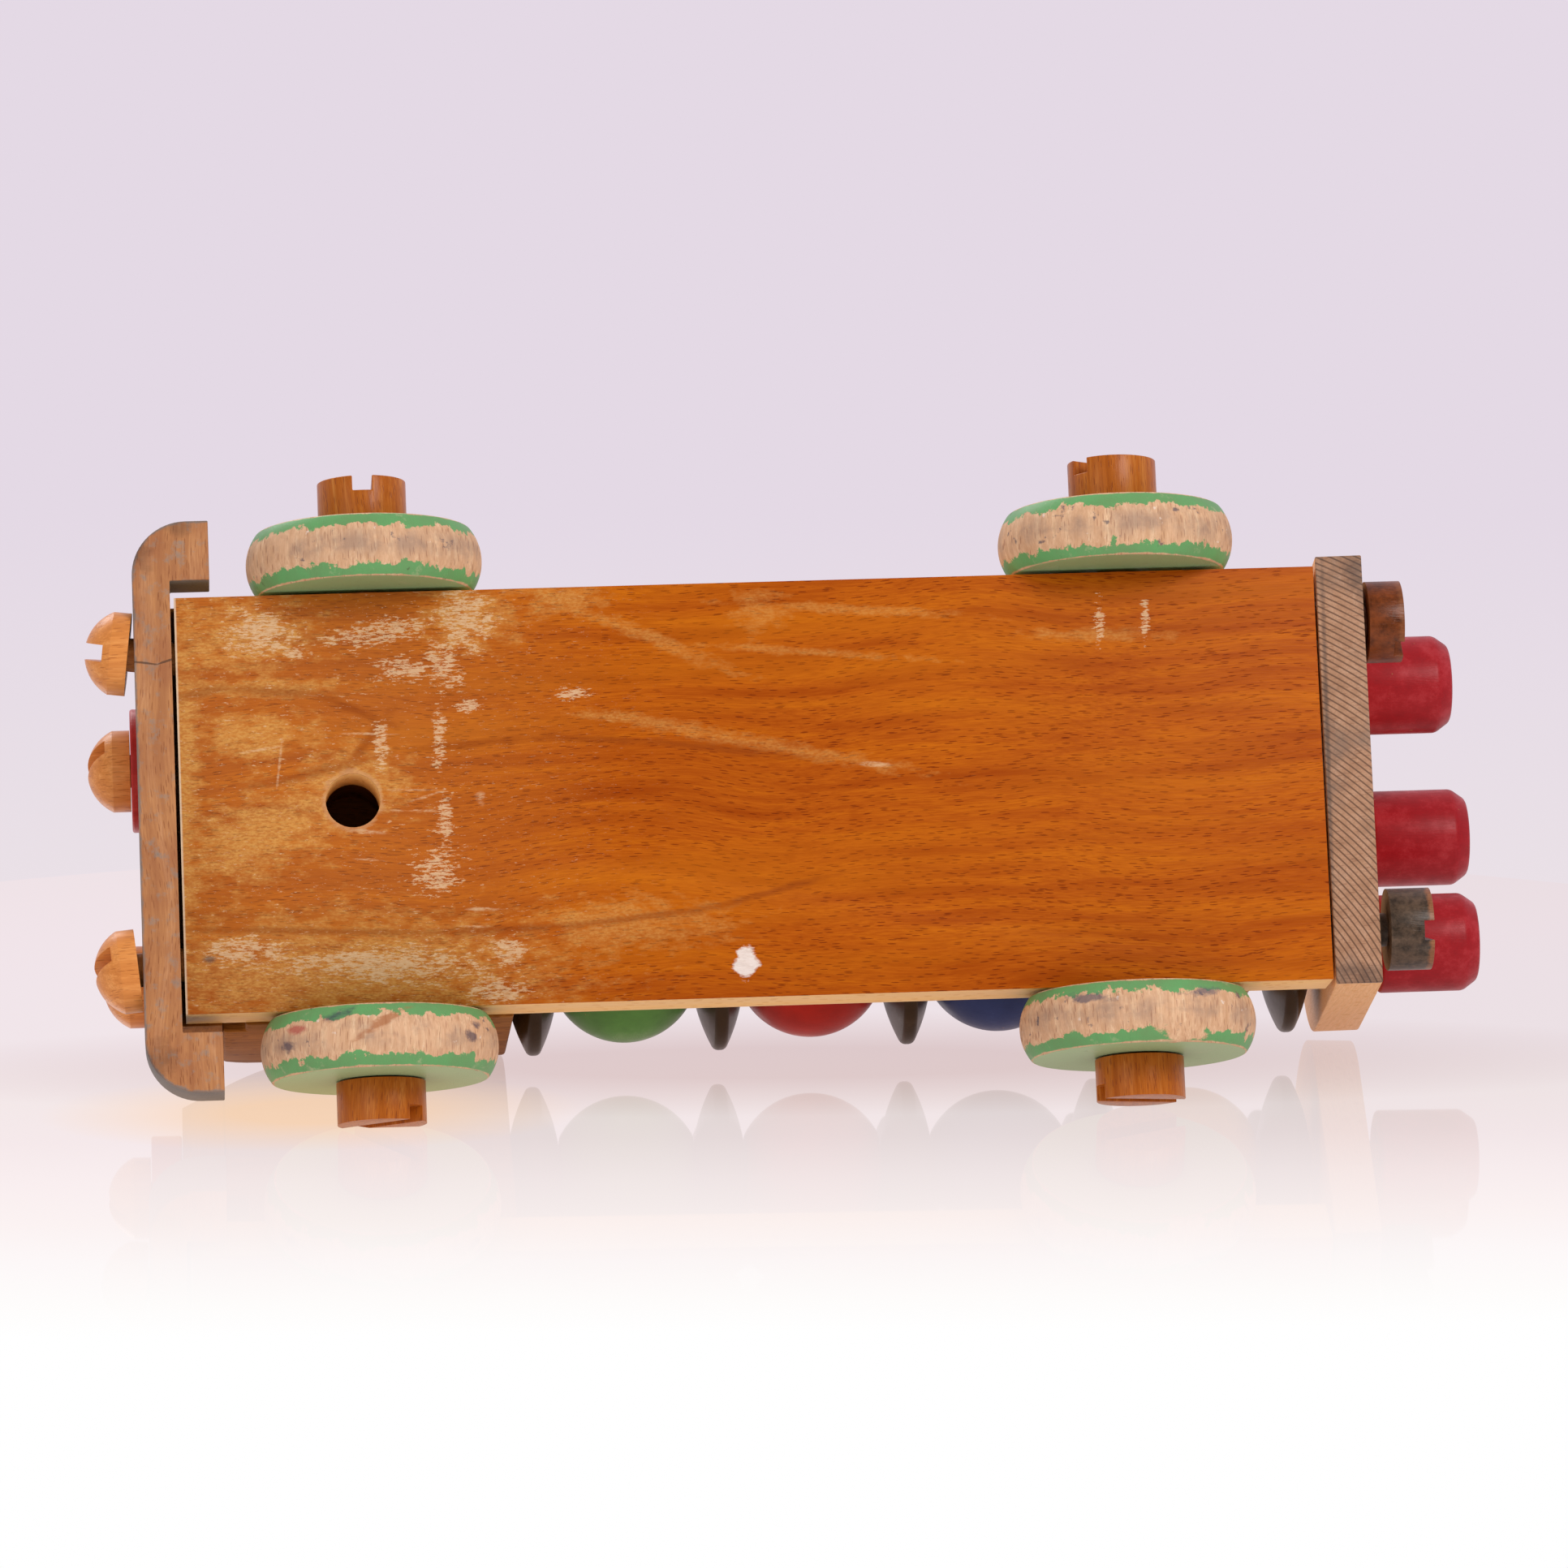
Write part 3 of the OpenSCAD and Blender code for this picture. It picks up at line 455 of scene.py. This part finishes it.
def swept_green(name, at, outer, marks=()):
    """Satin green paint on pale wood, dull where it is bare, for the wheel whose middle is at; outer adds
    painted light to its flat sides.
    """
    material, tree, place, colour, height = beech(
        name, "#c49771", "#d5aa86", "#e4c19b", turn=(0, 0, radians(90)), fleck=0.45, streak=1.5)
    local = add(tree, "Mapping", {"Vector": place, "Location": tuple(at)},
                vector_type="TEXTURE").outputs[0]
    across = add(tree, "SeparateXYZ", {0: local}).outputs[1]
    across = add(tree, "Math", {0: across}, operation="ABSOLUTE").outputs[0]
    flat = add(tree, "VectorMath", {0: local, 1: (1, 0, 1)}, operation="MULTIPLY").outputs[0]
    radius = add(tree, "VectorMath", {0: flat}, operation="LENGTH").outputs["Value"]
    torn = add(tree, "TexNoise", {"Vector": place, "Scale": 1 / (5.882 * MM), "Detail": 6,
                                  "Roughness": 0.72}).outputs[0]
    # Bare middle of the tread, about 9 mm wide, its edges torn in spikes along the axle
    spikes = add(tree, "Mapping", {"Vector": place, "Scale": per_mm(5, 6, 5)})
    spikes = add(tree, "TexNoise", {"Vector": spikes.outputs[0], "Scale": 1, "Detail": 5,
                                    "Roughness": 0.68})
    ragged = add(tree, "Math", {0: spikes.outputs[0], 1: 9 * MM, 2: across},
                 operation="MULTIPLY_ADD").outputs[0]
    bare = add(tree, "MapRange", {0: ragged, 1: 9.3 * MM, 2: 9 * MM}).outputs[0]
    rolling = add(tree, "MapRange", {0: radius, 1: TREAD, 2: TREAD + 0.2 * MM}).outputs[0]
    bare = add(tree, "Math", {0: bare, 1: rolling}, operation="MULTIPLY").outputs[0]
    # Rubbed rims of both flat sides
    rim = add(tree, "Math", {0: radius, 1: FLANK}, operation="SUBTRACT").outputs[0]
    rim = add(tree, "Math", {0: rim}, operation="ABSOLUTE").outputs[0]
    rim = add(tree, "Math", {0: torn, 1: 1.2 * MM, 2: rim}, operation="MULTIPLY_ADD").outputs[0]
    rim = add(tree, "MapRange", {0: rim, 1: 0.9 * MM, 2: 0.7 * MM}).outputs[0]
    bare = add(tree, "Math", {0: bare, 1: rim}, operation="MAXIMUM").outputs[0]
    for shade, spots in marks:
        if shade is None:
            rubbed = patches(tree, place, spots, 0.8, 0.3)
            bare = add(tree, "Math", {0: bare, 1: rubbed}, operation="MAXIMUM").outputs[0]
    # Grime and stains on the bare wood
    cloud = add(tree, "TexNoise", {"Vector": place, "Scale": 1 / (9.091 * MM), "Detail": 5,
                                   "Roughness": 0.65}).outputs[0]
    central = add(tree, "MapRange", {0: across, 1: 4.5 * MM, 2: 1 * MM}).outputs[0]
    cloudy = add(tree, "MapRange", {0: cloud, 1: 0.42, 2: 0.62, 3: 0, 4: 0.6}).outputs[0]
    grimy = add(tree, "Math", {0: central, 1: cloudy}, operation="MULTIPLY").outputs[0]
    colour = tint(tree, colour, "#8d7466", grimy)
    stains = add(tree, "TexNoise", {"Vector": place, "Scale": 1 / (3.333 * MM), "Detail": 4,
                                    "Roughness": 0.6}).outputs[0]
    colour = tint(tree, colour, "#4f4a55", stains, 0.64, 0.7, 0, 0.75)
    colour = tint(tree, colour, "#e8dcd0", stains, 0.33, 0.28, 0, 0.6)
    green = tint(tree, "#629e60", "#68905b", cloud, 0.35, 0.68)
    # Paler flat sides, faded paint in part and painted glare from the bright sheet in part; outer adds
    # more painted glare on the right wheels, which face it
    green = tint(tree, green, "#a9b988", across, 7.2 * MM, 7.5 * MM, 0, 0.55 + outer)
    green = tint(tree, green, "#b9b48e", torn, 0.6, 0.72, 0, 0.6)
    green = tint(tree, green, "#4c4a34", stains, 0.68, 0.72, 0, 0.55)
    colour = tint(tree, green, colour, bare)
    for shade, spots in marks:
        if shade is not None:
            stained = patches(tree, place, spots, 1, 0.9)
            colour = tint(tree, colour, shade, stained, 0, 1, 0, 0.75)
    rough = add(tree, "MapRange", {0: bare, 1: 0, 2: 1, 3: 0.42, 4: 0.6}).outputs[0]
    surface(tree, colour, rough, height, 0.05, gloss=0.2)
    return material


swing = degrees(asin(WIDTH / 2 / CROWN))
tread = arc(CROWN_AT, WIDTH / 2, CROWN, -swing, swing, 20)
wheel = turned("wheel_pattern", [(BORE, 0), *tread, (BORE, WIDTH)])
sanded(wheel, 0.5)
CORNERS = ["front_left", "front_right", "rear_left", "rear_right"]
for corner in CORNERS:
    node = "wheel_" + corner
    at = middle(node)
    upright = Matrix.Rotation(radians(-90 if at.y > 0 else 90), 4, "X")
    centred = Matrix.Translation((0, 0, -WIDTH / 2 * MM))
    piece = copied(wheel, "turned_" + node, Matrix.Translation(at) @ upright @ centred)
    # The right wheels face the bright sheet, so their flat sides get more painted light
    paint = swept_green("green_paint_" + corner, at, 0.2 if at.y < 0 else 0, TREAD_MARKS.get(corner, ()))
    fit(piece, node, node, paint)
bpy.data.objects.remove(wheel)

# Axle bolts. Turned beech pegs with a slotted cheese head, clear varnished, glued into the
# board's sides; the wheels turn on their shanks.


def slotted(piece, top, width, depth, turn, edge):
    """Saws a slot across the top of a turned head, and sands the piece."""
    blade_length, blade_height = 40, 20
    bpy.ops.object.select_all(action="DESELECT")
    bpy.ops.mesh.primitive_cube_add(size=1)
    saw = bpy.context.object
    saw.data.transform(Matrix.Rotation(radians(turn), 4, "Z")
                       @ Matrix.Translation((0, 0, (top - depth + blade_height / 2) * MM))
                       @ Matrix.Diagonal((blade_length * MM, width * MM, blade_height * MM, 1)))
    only(piece)
    cut = piece.modifiers.new("slot", "BOOLEAN")
    cut.operation = "DIFFERENCE"
    cut.solver = "EXACT"
    cut.object = saw
    bpy.ops.object.modifier_apply(modifier=cut.name)
    bpy.data.objects.remove(saw)
    return sanded(piece, edge)


# Clear varnish over beech gives a warm orange brown with a soft gloss
bolt_wood, tree, place, colour, height = beech("varnished_beech_bolt", "#9a4b0a", "#b25f17", "#c37833",
                                               turn=(0, 0, radians(90)), fleck=0.5, streak=1.6)
surface(tree, colour, 0.32, height, 0.04, gloss=0.2)
HEAD, HEAD_L, SHANK = 10.6, 10, 4.5
SLOT, SLOT_DEPTH = 4.7, 3.6
for corner, turn in zip(CORNERS, (90, 40, 37, -18)):
    node = "axle_bolt_" + corner
    low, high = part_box(node)
    length = (high.y - low.y) / MM
    bolt = turned("turned_" + node, [(0, 0), (SHANK, 0), (SHANK, length - HEAD_L), (HEAD, length - HEAD_L),
                                     (HEAD, length), (0, length)])
    slotted(bolt, length, SLOT, SLOT_DEPTH, turn, 0.45)
    left = high.y > 0 and low.y > 0
    at = middle(node)
    at.y = low.y if left else high.y
    bolt.data.transform(Matrix.Translation(at) @ Matrix.Rotation(radians(-90 if left else 90), 4, "X"))
    fit(bolt, node, "truck", bolt_wood)

# Domed bolts. Turned beech screws with a slotted domed head: two hold the bumper, a little
# skewed outwards, and two hold the lamp discs to the cab.

# The same varnish on paler beech: honey coloured, with a soft highlight on each dome
domed_wood, tree, place, colour, height = beech(
    "varnished_beech_dome", "#c57838", "#d78944", "#e7a05b", fleck=0.4, streak=1.6)
surface(tree, colour, 0.32, height, 0.04, gloss=0.2)
DOME, SKIRT, RISE, DOME_SHANK = 9.9, 4.2, 6.2, 4
DOME_R = (DOME ** 2 + RISE ** 2) / (2 * RISE)
DOME_L = SKIRT + RISE
DOME_SLOT, DOME_SLOT_DEPTH = 4, 4.4


def domed(name, shank, slot_turn, at, turn):
    """A domed bolt whose head's seat is at a point in mm, pointing forward and turned outwards."""
    edge = degrees(asin(DOME / DOME_R))
    dome = arc(0, DOME_L - DOME_R, DOME_R, 90 - edge, 90, 12)
    bolt = turned(name, [(0, -shank), (DOME_SHANK, -shank), (DOME_SHANK, 0), (DOME, 0)] + dome)
    slotted(bolt, DOME_L, DOME_SLOT, DOME_SLOT_DEPTH, slot_turn, 0.4)
    bolt.data.transform(Matrix.Translation((FRONT + Vector(at)) * MM)
                        @ Matrix.Rotation(radians(turn), 4, "Z") @ Matrix.Rotation(radians(90), 4, "Y"))
    return bolt


BOLT_Y, AXIS_Z, CLEAR = 37.9, 27.6, 0.2
BAR, BAR_GAP, BAR_BOLT_DEPTH = 8.9, 0.9, 26
for side, y, turn, slot_turn in (("left", BOLT_Y, 7, -12), ("right", -BOLT_Y, -5.5, 25)):
    off = DOME * sin(radians(abs(turn))) + CLEAR
    at = (BAR_GAP + BAR + off * cos(radians(turn)), y + off * sin(radians(turn)), AXIS_Z)
    bolt = domed("turned_bumper_bolt_" + side, off + BAR + BAR_GAP + BAR_BOLT_DEPTH, slot_turn, at, turn)
    fit(bolt, "bumper_bolt_" + side, "truck", domed_wood)

# Lamps. Two discs of beech sawn from round stock and painted red, each loose on the domed bolt
# that is screwed into the cab's front.


def red_paint(name, base, pale, dark):
    """Old gloss paint on wood: a soft highlight, cloudy where it has rubbed thin, chipped to wood."""
    material, tree, place, colour, height = beech(name, "#8f5a3a", "#a46c48", "#b68460", fleck=0.3)
    cloud = add(tree, "TexNoise", {"Vector": place, "Scale": 1 / (6.667 * MM), "Detail": 7,
                                   "Roughness": 0.75}).outputs[0]
    red = tint(tree, base, dark, cloud, 0.4, 0.7)
    red = tint(tree, red, pale, cloud, 0.5, 0.3, 0, 0.4)
    chips = add(tree, "TexNoise", {"Vector": place, "Scale": 1 / (3.03 * MM), "Detail": 5,
                                   "Roughness": 0.65}).outputs[0]
    bare = add(tree, "MapRange", {0: chips, 1: 0.69, 2: 0.72}).outputs[0]
    colour = tint(tree, red, colour, bare)
    rough = add(tree, "MapRange", {0: cloud, 1: 0.3, 2: 0.7, 3: 0.3, 4: 0.45}).outputs[0]
    surface(tree, colour, rough, height, 0.03, gloss=0.18)
    return material


lamp_red = red_paint("red_lamp_paint", "#b0241c", "#bd5040", "#951a16")
LAMP_R, LAMP_BORE, CAB_FRONT, LAMP_BOLT_DEPTH = 15, 4.08, 1.4, 24
for side, slot_turn in (("left", 35), ("right", 10)):
    node = "lamp_disc_" + side
    low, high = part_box(node)
    thick = (high.x - low.x) / MM
    disc = turned("turned_" + node, [(LAMP_BORE, 0), (LAMP_R, 0), (LAMP_R, thick), (LAMP_BORE, thick)])
    sanded(disc, 0.6)
    at = Vector((low.x, (low.y + high.y) / 2, (low.z + high.z) / 2))
    disc.data.transform(Matrix.Translation(at) @ Matrix.Rotation(radians(90), 4, "Y"))
    fit(disc, node, node, lamp_red)
    seat = high.x / MM - FRONT.x + CLEAR
    shank = seat - CAB_FRONT + LAMP_BOLT_DEPTH
    bolt = domed("turned_lamp_bolt_" + side, shank, slot_turn, (seat, at.y / MM - FRONT.y, at.z / MM), 0)
    fit(bolt, "lamp_bolt_" + side, "truck", domed_wood)

# Tailboard bolts. Two turned pegs with shallow slotted heads hold the tailboard to the board;
# the left one is stained brown, and the right one has dark paint worn off at its rim.
TAIL_R, TAIL_SLOT_DEPTH = 9.8, 2.4


def dark_head(name, base, shade, worn, end, axis_y):
    """Dark stain or paint with a faint gloss, worn to wood round the rim of the head at end."""
    material, tree, place, colour, height = beech(name, "#7d4c2c", "#935c38", "#a87048", fleck=0.3,
                                                  streak=1.6)
    local = add(tree, "Mapping", {"Vector": place, "Location": (0, axis_y, AXIS_Z * MM)},
                vector_type="TEXTURE")
    flat = add(tree, "VectorMath", {0: local.outputs[0], 1: (0, 1, 1)}, operation="MULTIPLY").outputs[0]
    radius = add(tree, "VectorMath", {0: flat}, operation="LENGTH").outputs["Value"]
    torn = add(tree, "TexNoise", {"Vector": place, "Scale": 1 / (3.333 * MM), "Detail": 6,
                                  "Roughness": 0.7}).outputs[0]
    rim = add(tree, "Math", {0: torn, 1: 1 * MM, 2: radius}, operation="MULTIPLY_ADD").outputs[0]
    rim = add(tree, "MapRange", {0: rim, 1: TAIL_R * MM, 2: (TAIL_R + 0.2) * MM}).outputs[0]
    along = add(tree, "SeparateXYZ", {0: place}).outputs[0]
    ends = add(tree, "Math", {0: torn, 1: 3 * MM, 2: along}, operation="MULTIPLY_ADD").outputs[0]
    ends = add(tree, "MapRange", {0: ends, 1: end + 3.1 * MM, 2: end + 2.3 * MM}).outputs[0]
    corner = add(tree, "Math", {0: rim, 1: ends}, operation="MULTIPLY").outputs[0]
    paint = tint(tree, base, shade, torn, 0.4, 0.65)
    colour = tint(tree, colour, paint, corner, 0, 1, 1, 1 - worn)
    surface(tree, colour, 0.34, height, 0.05)
    return material


for side, slot_turn, head, base, shade, worn, slot_name in (
        ("left", 54, 8.4, "#763812", "#461c00", 0.35, "bolt_wood"),
        ("right", 11, 10.4, "#5c4838", "#2b2118", 0.8, "dark_bolt_paint")):
    node = "tail_bolt_" + side
    low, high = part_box(node)
    length = (high.x - low.x) / MM
    bolt = turned("turned_" + node, [(0, 0), (DOME_SHANK, 0), (DOME_SHANK, length - head),
                                     (TAIL_R, length - head), (TAIL_R, length), (0, length)])
    slotted(bolt, length, SLOT, TAIL_SLOT_DEPTH, slot_turn, 0.5)
    at = Vector((high.x, (low.y + high.y) / 2, (low.z + high.z) / 2))
    bolt.data.transform(Matrix.Translation(at) @ Matrix.Rotation(radians(-90), 4, "Y"))
    dark = dark_head("dark_stain_" + side, base, shade, worn, low.x, at.y)
    fit(bolt, node, "truck", dark)

# Bead rods. Three straight dowels that slide into the cab through the tailboard, each with a
# red knob glued on its rear end to pull it by.

# Bare dowel wood, rubbed by the beads to a low sheen
rod_wood, tree, place, colour, height = beech(
    "dowel_beech", "#b58a58", "#c69a68", "#d4ac7e", fleck=0.35, streak=1.5)
surface(tree, colour, 0.45, height, 0.03)
knob_red = red_paint("red_knob_paint", "#a21a22", "#b8484e", "#8c141c")
ROD_R, KNOB_R, KNOB_L, SOCKET_R, SOCKET = 4.5, 12, 24.4, 4.65, 14.2
CHAMFER, CHAMFER_L = 2.6, 3.6
knob = turned("knob_pattern", [
    (SOCKET_R, 0), (KNOB_R, 0), (KNOB_R, KNOB_L - CHAMFER_L), (KNOB_R - CHAMFER, KNOB_L),
    (0, KNOB_L), (0, SOCKET), (SOCKET_R, SOCKET)])
sanded(knob, 0.8)
STRINGS = ["left", "right", "upper"]
for string in STRINGS:
    node = "bead_rod_" + string
    low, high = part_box(node)
    length = (high.x - low.x) / MM
    rod = turned("turned_" + node, [(0, 0), (ROD_R, 0), (ROD_R, length), (0, length)])
    sanded(rod, 0.5)
    at = Vector((high.x, (low.y + high.y) / 2, (low.z + high.z) / 2))
    rod.data.transform(Matrix.Translation(at) @ Matrix.Rotation(radians(-90), 4, "Y"))
    fit(rod, node, "rod_" + string, rod_wood)
    node = "red_knob_" + string
    low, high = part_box(node)
    at = Vector((high.x, (low.y + high.y) / 2, (low.z + high.z) / 2))
    piece = copied(knob, "turned_" + node, Matrix.Translation(at) @ Matrix.Rotation(radians(-90), 4, "Y"))
    fit(piece, node, "rod_" + string, knob_red)
bpy.data.objects.remove(knob)

# Beads. Bored balls with flat ends in four colours, and between them dark lens-shaped discs,
# all turned from beech and dipped in paint, loose on their rods.


def bead_paint(name, base, rubbed, dark):
    """Glossy dipped paint of a bead, rubbed a little and scratched."""
    material, tree, place, colour, height = beech(name, "#9a6a44", "#ad7b54", "#bd9068", fleck=0.3)
    cloud = add(tree, "TexNoise", {"Vector": place, "Scale": 1 / (11.76 * MM), "Detail": 5,
                                   "Roughness": 0.65}).outputs[0]
    paint = tint(tree, base, dark, cloud, 0.4, 0.7)
    paint = tint(tree, paint, rubbed, cloud, 0.42, 0.25, 0, 0.5)
    chips = add(tree, "TexNoise", {"Vector": place, "Scale": 1 / (2.632 * MM), "Detail": 5,
                                   "Roughness": 0.65}).outputs[0]
    colour = tint(tree, paint, colour, chips, 0.7, 0.73)
    rough = add(tree, "MapRange", {0: cloud, 1: 0.3, 2: 0.7, 3: 0.26, 4: 0.4}).outputs[0]
    surface(tree, colour, rough, height, 0.02, gloss=0.18)
    return material


BALL_R, BALL_L = 18.4, 32.8
flat = degrees(asin(BALL_L / 2 / BALL_R))
ball = turned("ball_pattern", [(BORE, -BALL_L / 2), *arc(0, 0, BALL_R, -flat, flat, 40),
                               (BORE, BALL_L / 2)])
sanded(ball, 0.5)
COLOURS = {
    "green": ("#5e9145", "#84a96b", "#527e3e"), "red": ("#b5200f", "#c15039", "#9e1c0e"),
    "blue": ("#313f6e", "#596490", "#29355f"), "yellow": ("#d6a01c", "#dcb454", "#bd8a14")}
for colour_name, shades in COLOURS.items():
    material = bead_paint(colour_name + "_bead_paint", *shades)
    for string in STRINGS:
        node = f"ball_{colour_name}_{string}"
        piece = copied(ball, "turned_" + node,
                       Matrix.Translation(middle(node)) @ Matrix.Rotation(radians(-90), 4, "Y"))
        fit(piece, node, node, material)
bpy.data.objects.remove(ball)
FACE_R, DISC_R, RIM = 44, 20.9, 2.6
off = sqrt(FACE_R ** 2 - DISC_R ** 2) - RIM / 2
inner, outer = degrees(asin(BORE / FACE_R)), degrees(asin(DISC_R / FACE_R))
face = arc(0, -off, FACE_R, 90 - outer, 90 - inner, 20)
disc = turned("disc_pattern", face + [(r, -h) for r, h in reversed(face)])
sanded(disc, 1)
disc_paint = bead_paint("grey_bead_paint", "#3c2914", "#594737", "#311e05")
for string in STRINGS:
    for k in range(1, 6):
        node = f"disc_{k}_{string}"
        piece = copied(disc, "turned_" + node,
                       Matrix.Translation(middle(node)) @ Matrix.Rotation(radians(-90), 4, "Y"))
        fit(piece, node, node, disc_paint)
bpy.data.objects.remove(disc)

# Sheet, backdrop and light. A round glossy white sheet under the truck's right side mirrors it
# faintly; behind it is a pale lilac wall. Three soft lamps stand above right of the camera, left
# of it and overhead.
RIGHT = (-0.997451, -0.030965, -0.064285)
AWAY = (-0.070864, 0.324516, 0.943222)
UP = (-0.008345, 0.945373, -0.325883)
bpy.ops.object.select_all(action="DESELECT")
SHEET_R, SHEET_MIDDLE, SHEET_AT = 413, Vector((-23, -119, 0)), Vector((2.07, -49.67, 116.93))
bpy.ops.mesh.primitive_circle_add(vertices=256, radius=SHEET_R * MM, fill_type="NGON")
sheet = bpy.context.object
sheet.name = "sheet"
for vertex in sheet.data.vertices:
    vertex.co.y *= 2 if vertex.co.y < 0 else 1
sheet.data.transform(Matrix.Translation(SHEET_MIDDLE * MM))
lying = Matrix((RIGHT, AWAY, UP)).transposed().to_4x4()
sheet.matrix_world = Matrix.Translation(SHEET_AT * MM) @ lying

# White glossy plastic, lit so evenly that it glows, with a mirror image that grows clearer
# away from the camera
material = bpy.data.materials.new("glossy_white_sheet")
material.use_nodes = True
tree = material.node_tree
tree.nodes.clear()
place = add(tree, "TexCoord").outputs["Object"]
axes = add(tree, "SeparateXYZ", {0: place})
# Along the sheet, in mm from near to far: its tone and its share of mirror
STOPS = [(-314, "#ffffff", 0), (-283, "#fffdfc", 0.01), (-242, "#fffafa", 0.04), (-200, "#fff6f5", 0.08),
         (-155, "#fff4f4", 0.13), (-109, "#fef1f1", 0.2), (-61, "#fff3f1", 0.26), (0, "#fdf1f3", 0.28),
         (98, "#fef1f4", 0.3), (156, "#fef0f3", 0.3), (250, "#fceef0", 0.3)]
NEAR, FAR = STOPS[0][0], STOPS[-1][0]
away = add(tree, "MapRange", {0: axes.outputs[1], 1: NEAR * MM, 2: FAR * MM}).outputs[0]
ramps = []
for tones in ([linear(stop[1]) for stop in STOPS], [(stop[2], stop[2], stop[2], 1) for stop in STOPS]):
    ramp = add(tree, "ValToRGB", {"Fac": away})
    first, last = ramp.color_ramp.elements
    first.color = tones[0]
    last.color = tones[-1]
    for stop, tone in zip(STOPS[1:-1], tones[1:-1]):
        ramp.color_ramp.elements.new((stop[0] - NEAR) / (FAR - NEAR)).color = tone
    ramps.append(ramp.outputs[0])
# A little greyer to the right, a soft warm painted shade under the truck, and a painted peach reflection
# of the cab under the cab
right = add(tree, "MapRange", {0: axes.outputs[0], 1: -150 * MM, 2: 150 * MM}).outputs[0]
far = add(tree, "MapRange", {0: axes.outputs[1], 1: -200 * MM, 2: -50 * MM}).outputs[0]
right = add(tree, "Math", {0: right, 1: far}, operation="MULTIPLY").outputs[0]
tone = tint(tree, ramps[0], "#f8f8f8", right, blend="MULTIPLY")
shade = patches(tree, place, [(-2, -20, 0, 300, 85, 60, 0)], 0, 1.1)
tone = tint(tree, tone, "#e8dad6", shade, blend="MULTIPLY")
painted_cab_reflection = patches(tree, place, [(-113, -75, 0, 85, 60, 60, 0)], 0, 1.1)
tone = tint(tree, tone, "#ffdab8", painted_cab_reflection, 0, 1, 0, 0.9)
glow = add(tree, "Emission", {"Color": tone, "Strength": 1})
mirror = add(tree, "BsdfGlossy", {"Roughness": 0.03})
# Less true mirror where the cab's reflection is painted
mirror_under_painted_reflection = add(tree, "MapRange", {0: painted_cab_reflection, 1: 0, 2: 1, 3: 1, 4: 0.45}).outputs[0]
share = add(tree, "Math", {0: ramps[1], 1: mirror_under_painted_reflection}, operation="MULTIPLY").outputs[0]
mixed = add(tree, "MixShader", {0: share, 1: glow.outputs[0], 2: mirror.outputs[0]})
# Seen from below, the sheet is left out
below = add(tree, "NewGeometry").outputs["Backfacing"]
clear = add(tree, "BsdfTransparent").outputs[0]
behind = add(tree, "MixShader", {0: below, 1: mixed.outputs[0], 2: clear})
add(tree, "OutputMaterial", {0: behind.outputs[0]})
sheet.data.materials.append(material)

world = bpy.context.scene.world or bpy.data.worlds.new("room")
bpy.context.scene.world = world
world.use_nodes = True
tree = world.node_tree
tree.nodes.clear()
# The picture's right, its up and the way to the camera, in the truck's frame
image_right = Vector((-0.997, -0.040, -0.063))
image_up = Vector((-0.029, 0.985, -0.168))
nearer = Vector((0.069, -0.165, -0.984))
ray = add(tree, "LightPath")
look = add(tree, "TexCoord").outputs["Generated"]
rise = add(tree, "VectorMath", {0: look, 1: tuple(image_up)}, operation="DOT_PRODUCT").outputs["Value"]
wall = tint(tree, "#ebe2e7", "#e4d9e5", rise, -0.02, 0.03)
front = add(tree, "VectorMath", {0: look, 1: tuple(nearer)}, operation="DOT_PRODUCT").outputs["Value"]
mirrored = tint(tree, wall, "#2a2828", front, -0.15, 0.35)
room = tint(tree, "#d9d4d6", mirrored, ray.outputs["Is Glossy Ray"])
room = tint(tree, room, wall, ray.outputs["Is Camera Ray"])
add(tree, "OutputWorld", {0: add(tree, "Background", {"Color": room, "Strength": 1}).outputs[0]})

for name, spot, size, power in (
        ("key", image_right * 0.7 + image_up * 0.7 + nearer * 1.0, 0.45, 9),
        ("fill", image_right * -0.9 + image_up * 0.3 + nearer * 1.1, 0.9, 3),
        ("overhead", Vector((0.6, 1.2, 0.8)), 0.7, 8)):
    lamp = bpy.data.objects.new(name, bpy.data.lights.new(name, "AREA"))
    lamp.data.size = size
    lamp.data.energy = power
    lamp.location = spot
    lamp.rotation_euler = (-spot).to_track_quat("-Z", "Y").to_euler()
    bpy.context.scene.collection.objects.link(lamp)
bpy.context.scene.view_settings.view_transform = "Standard"
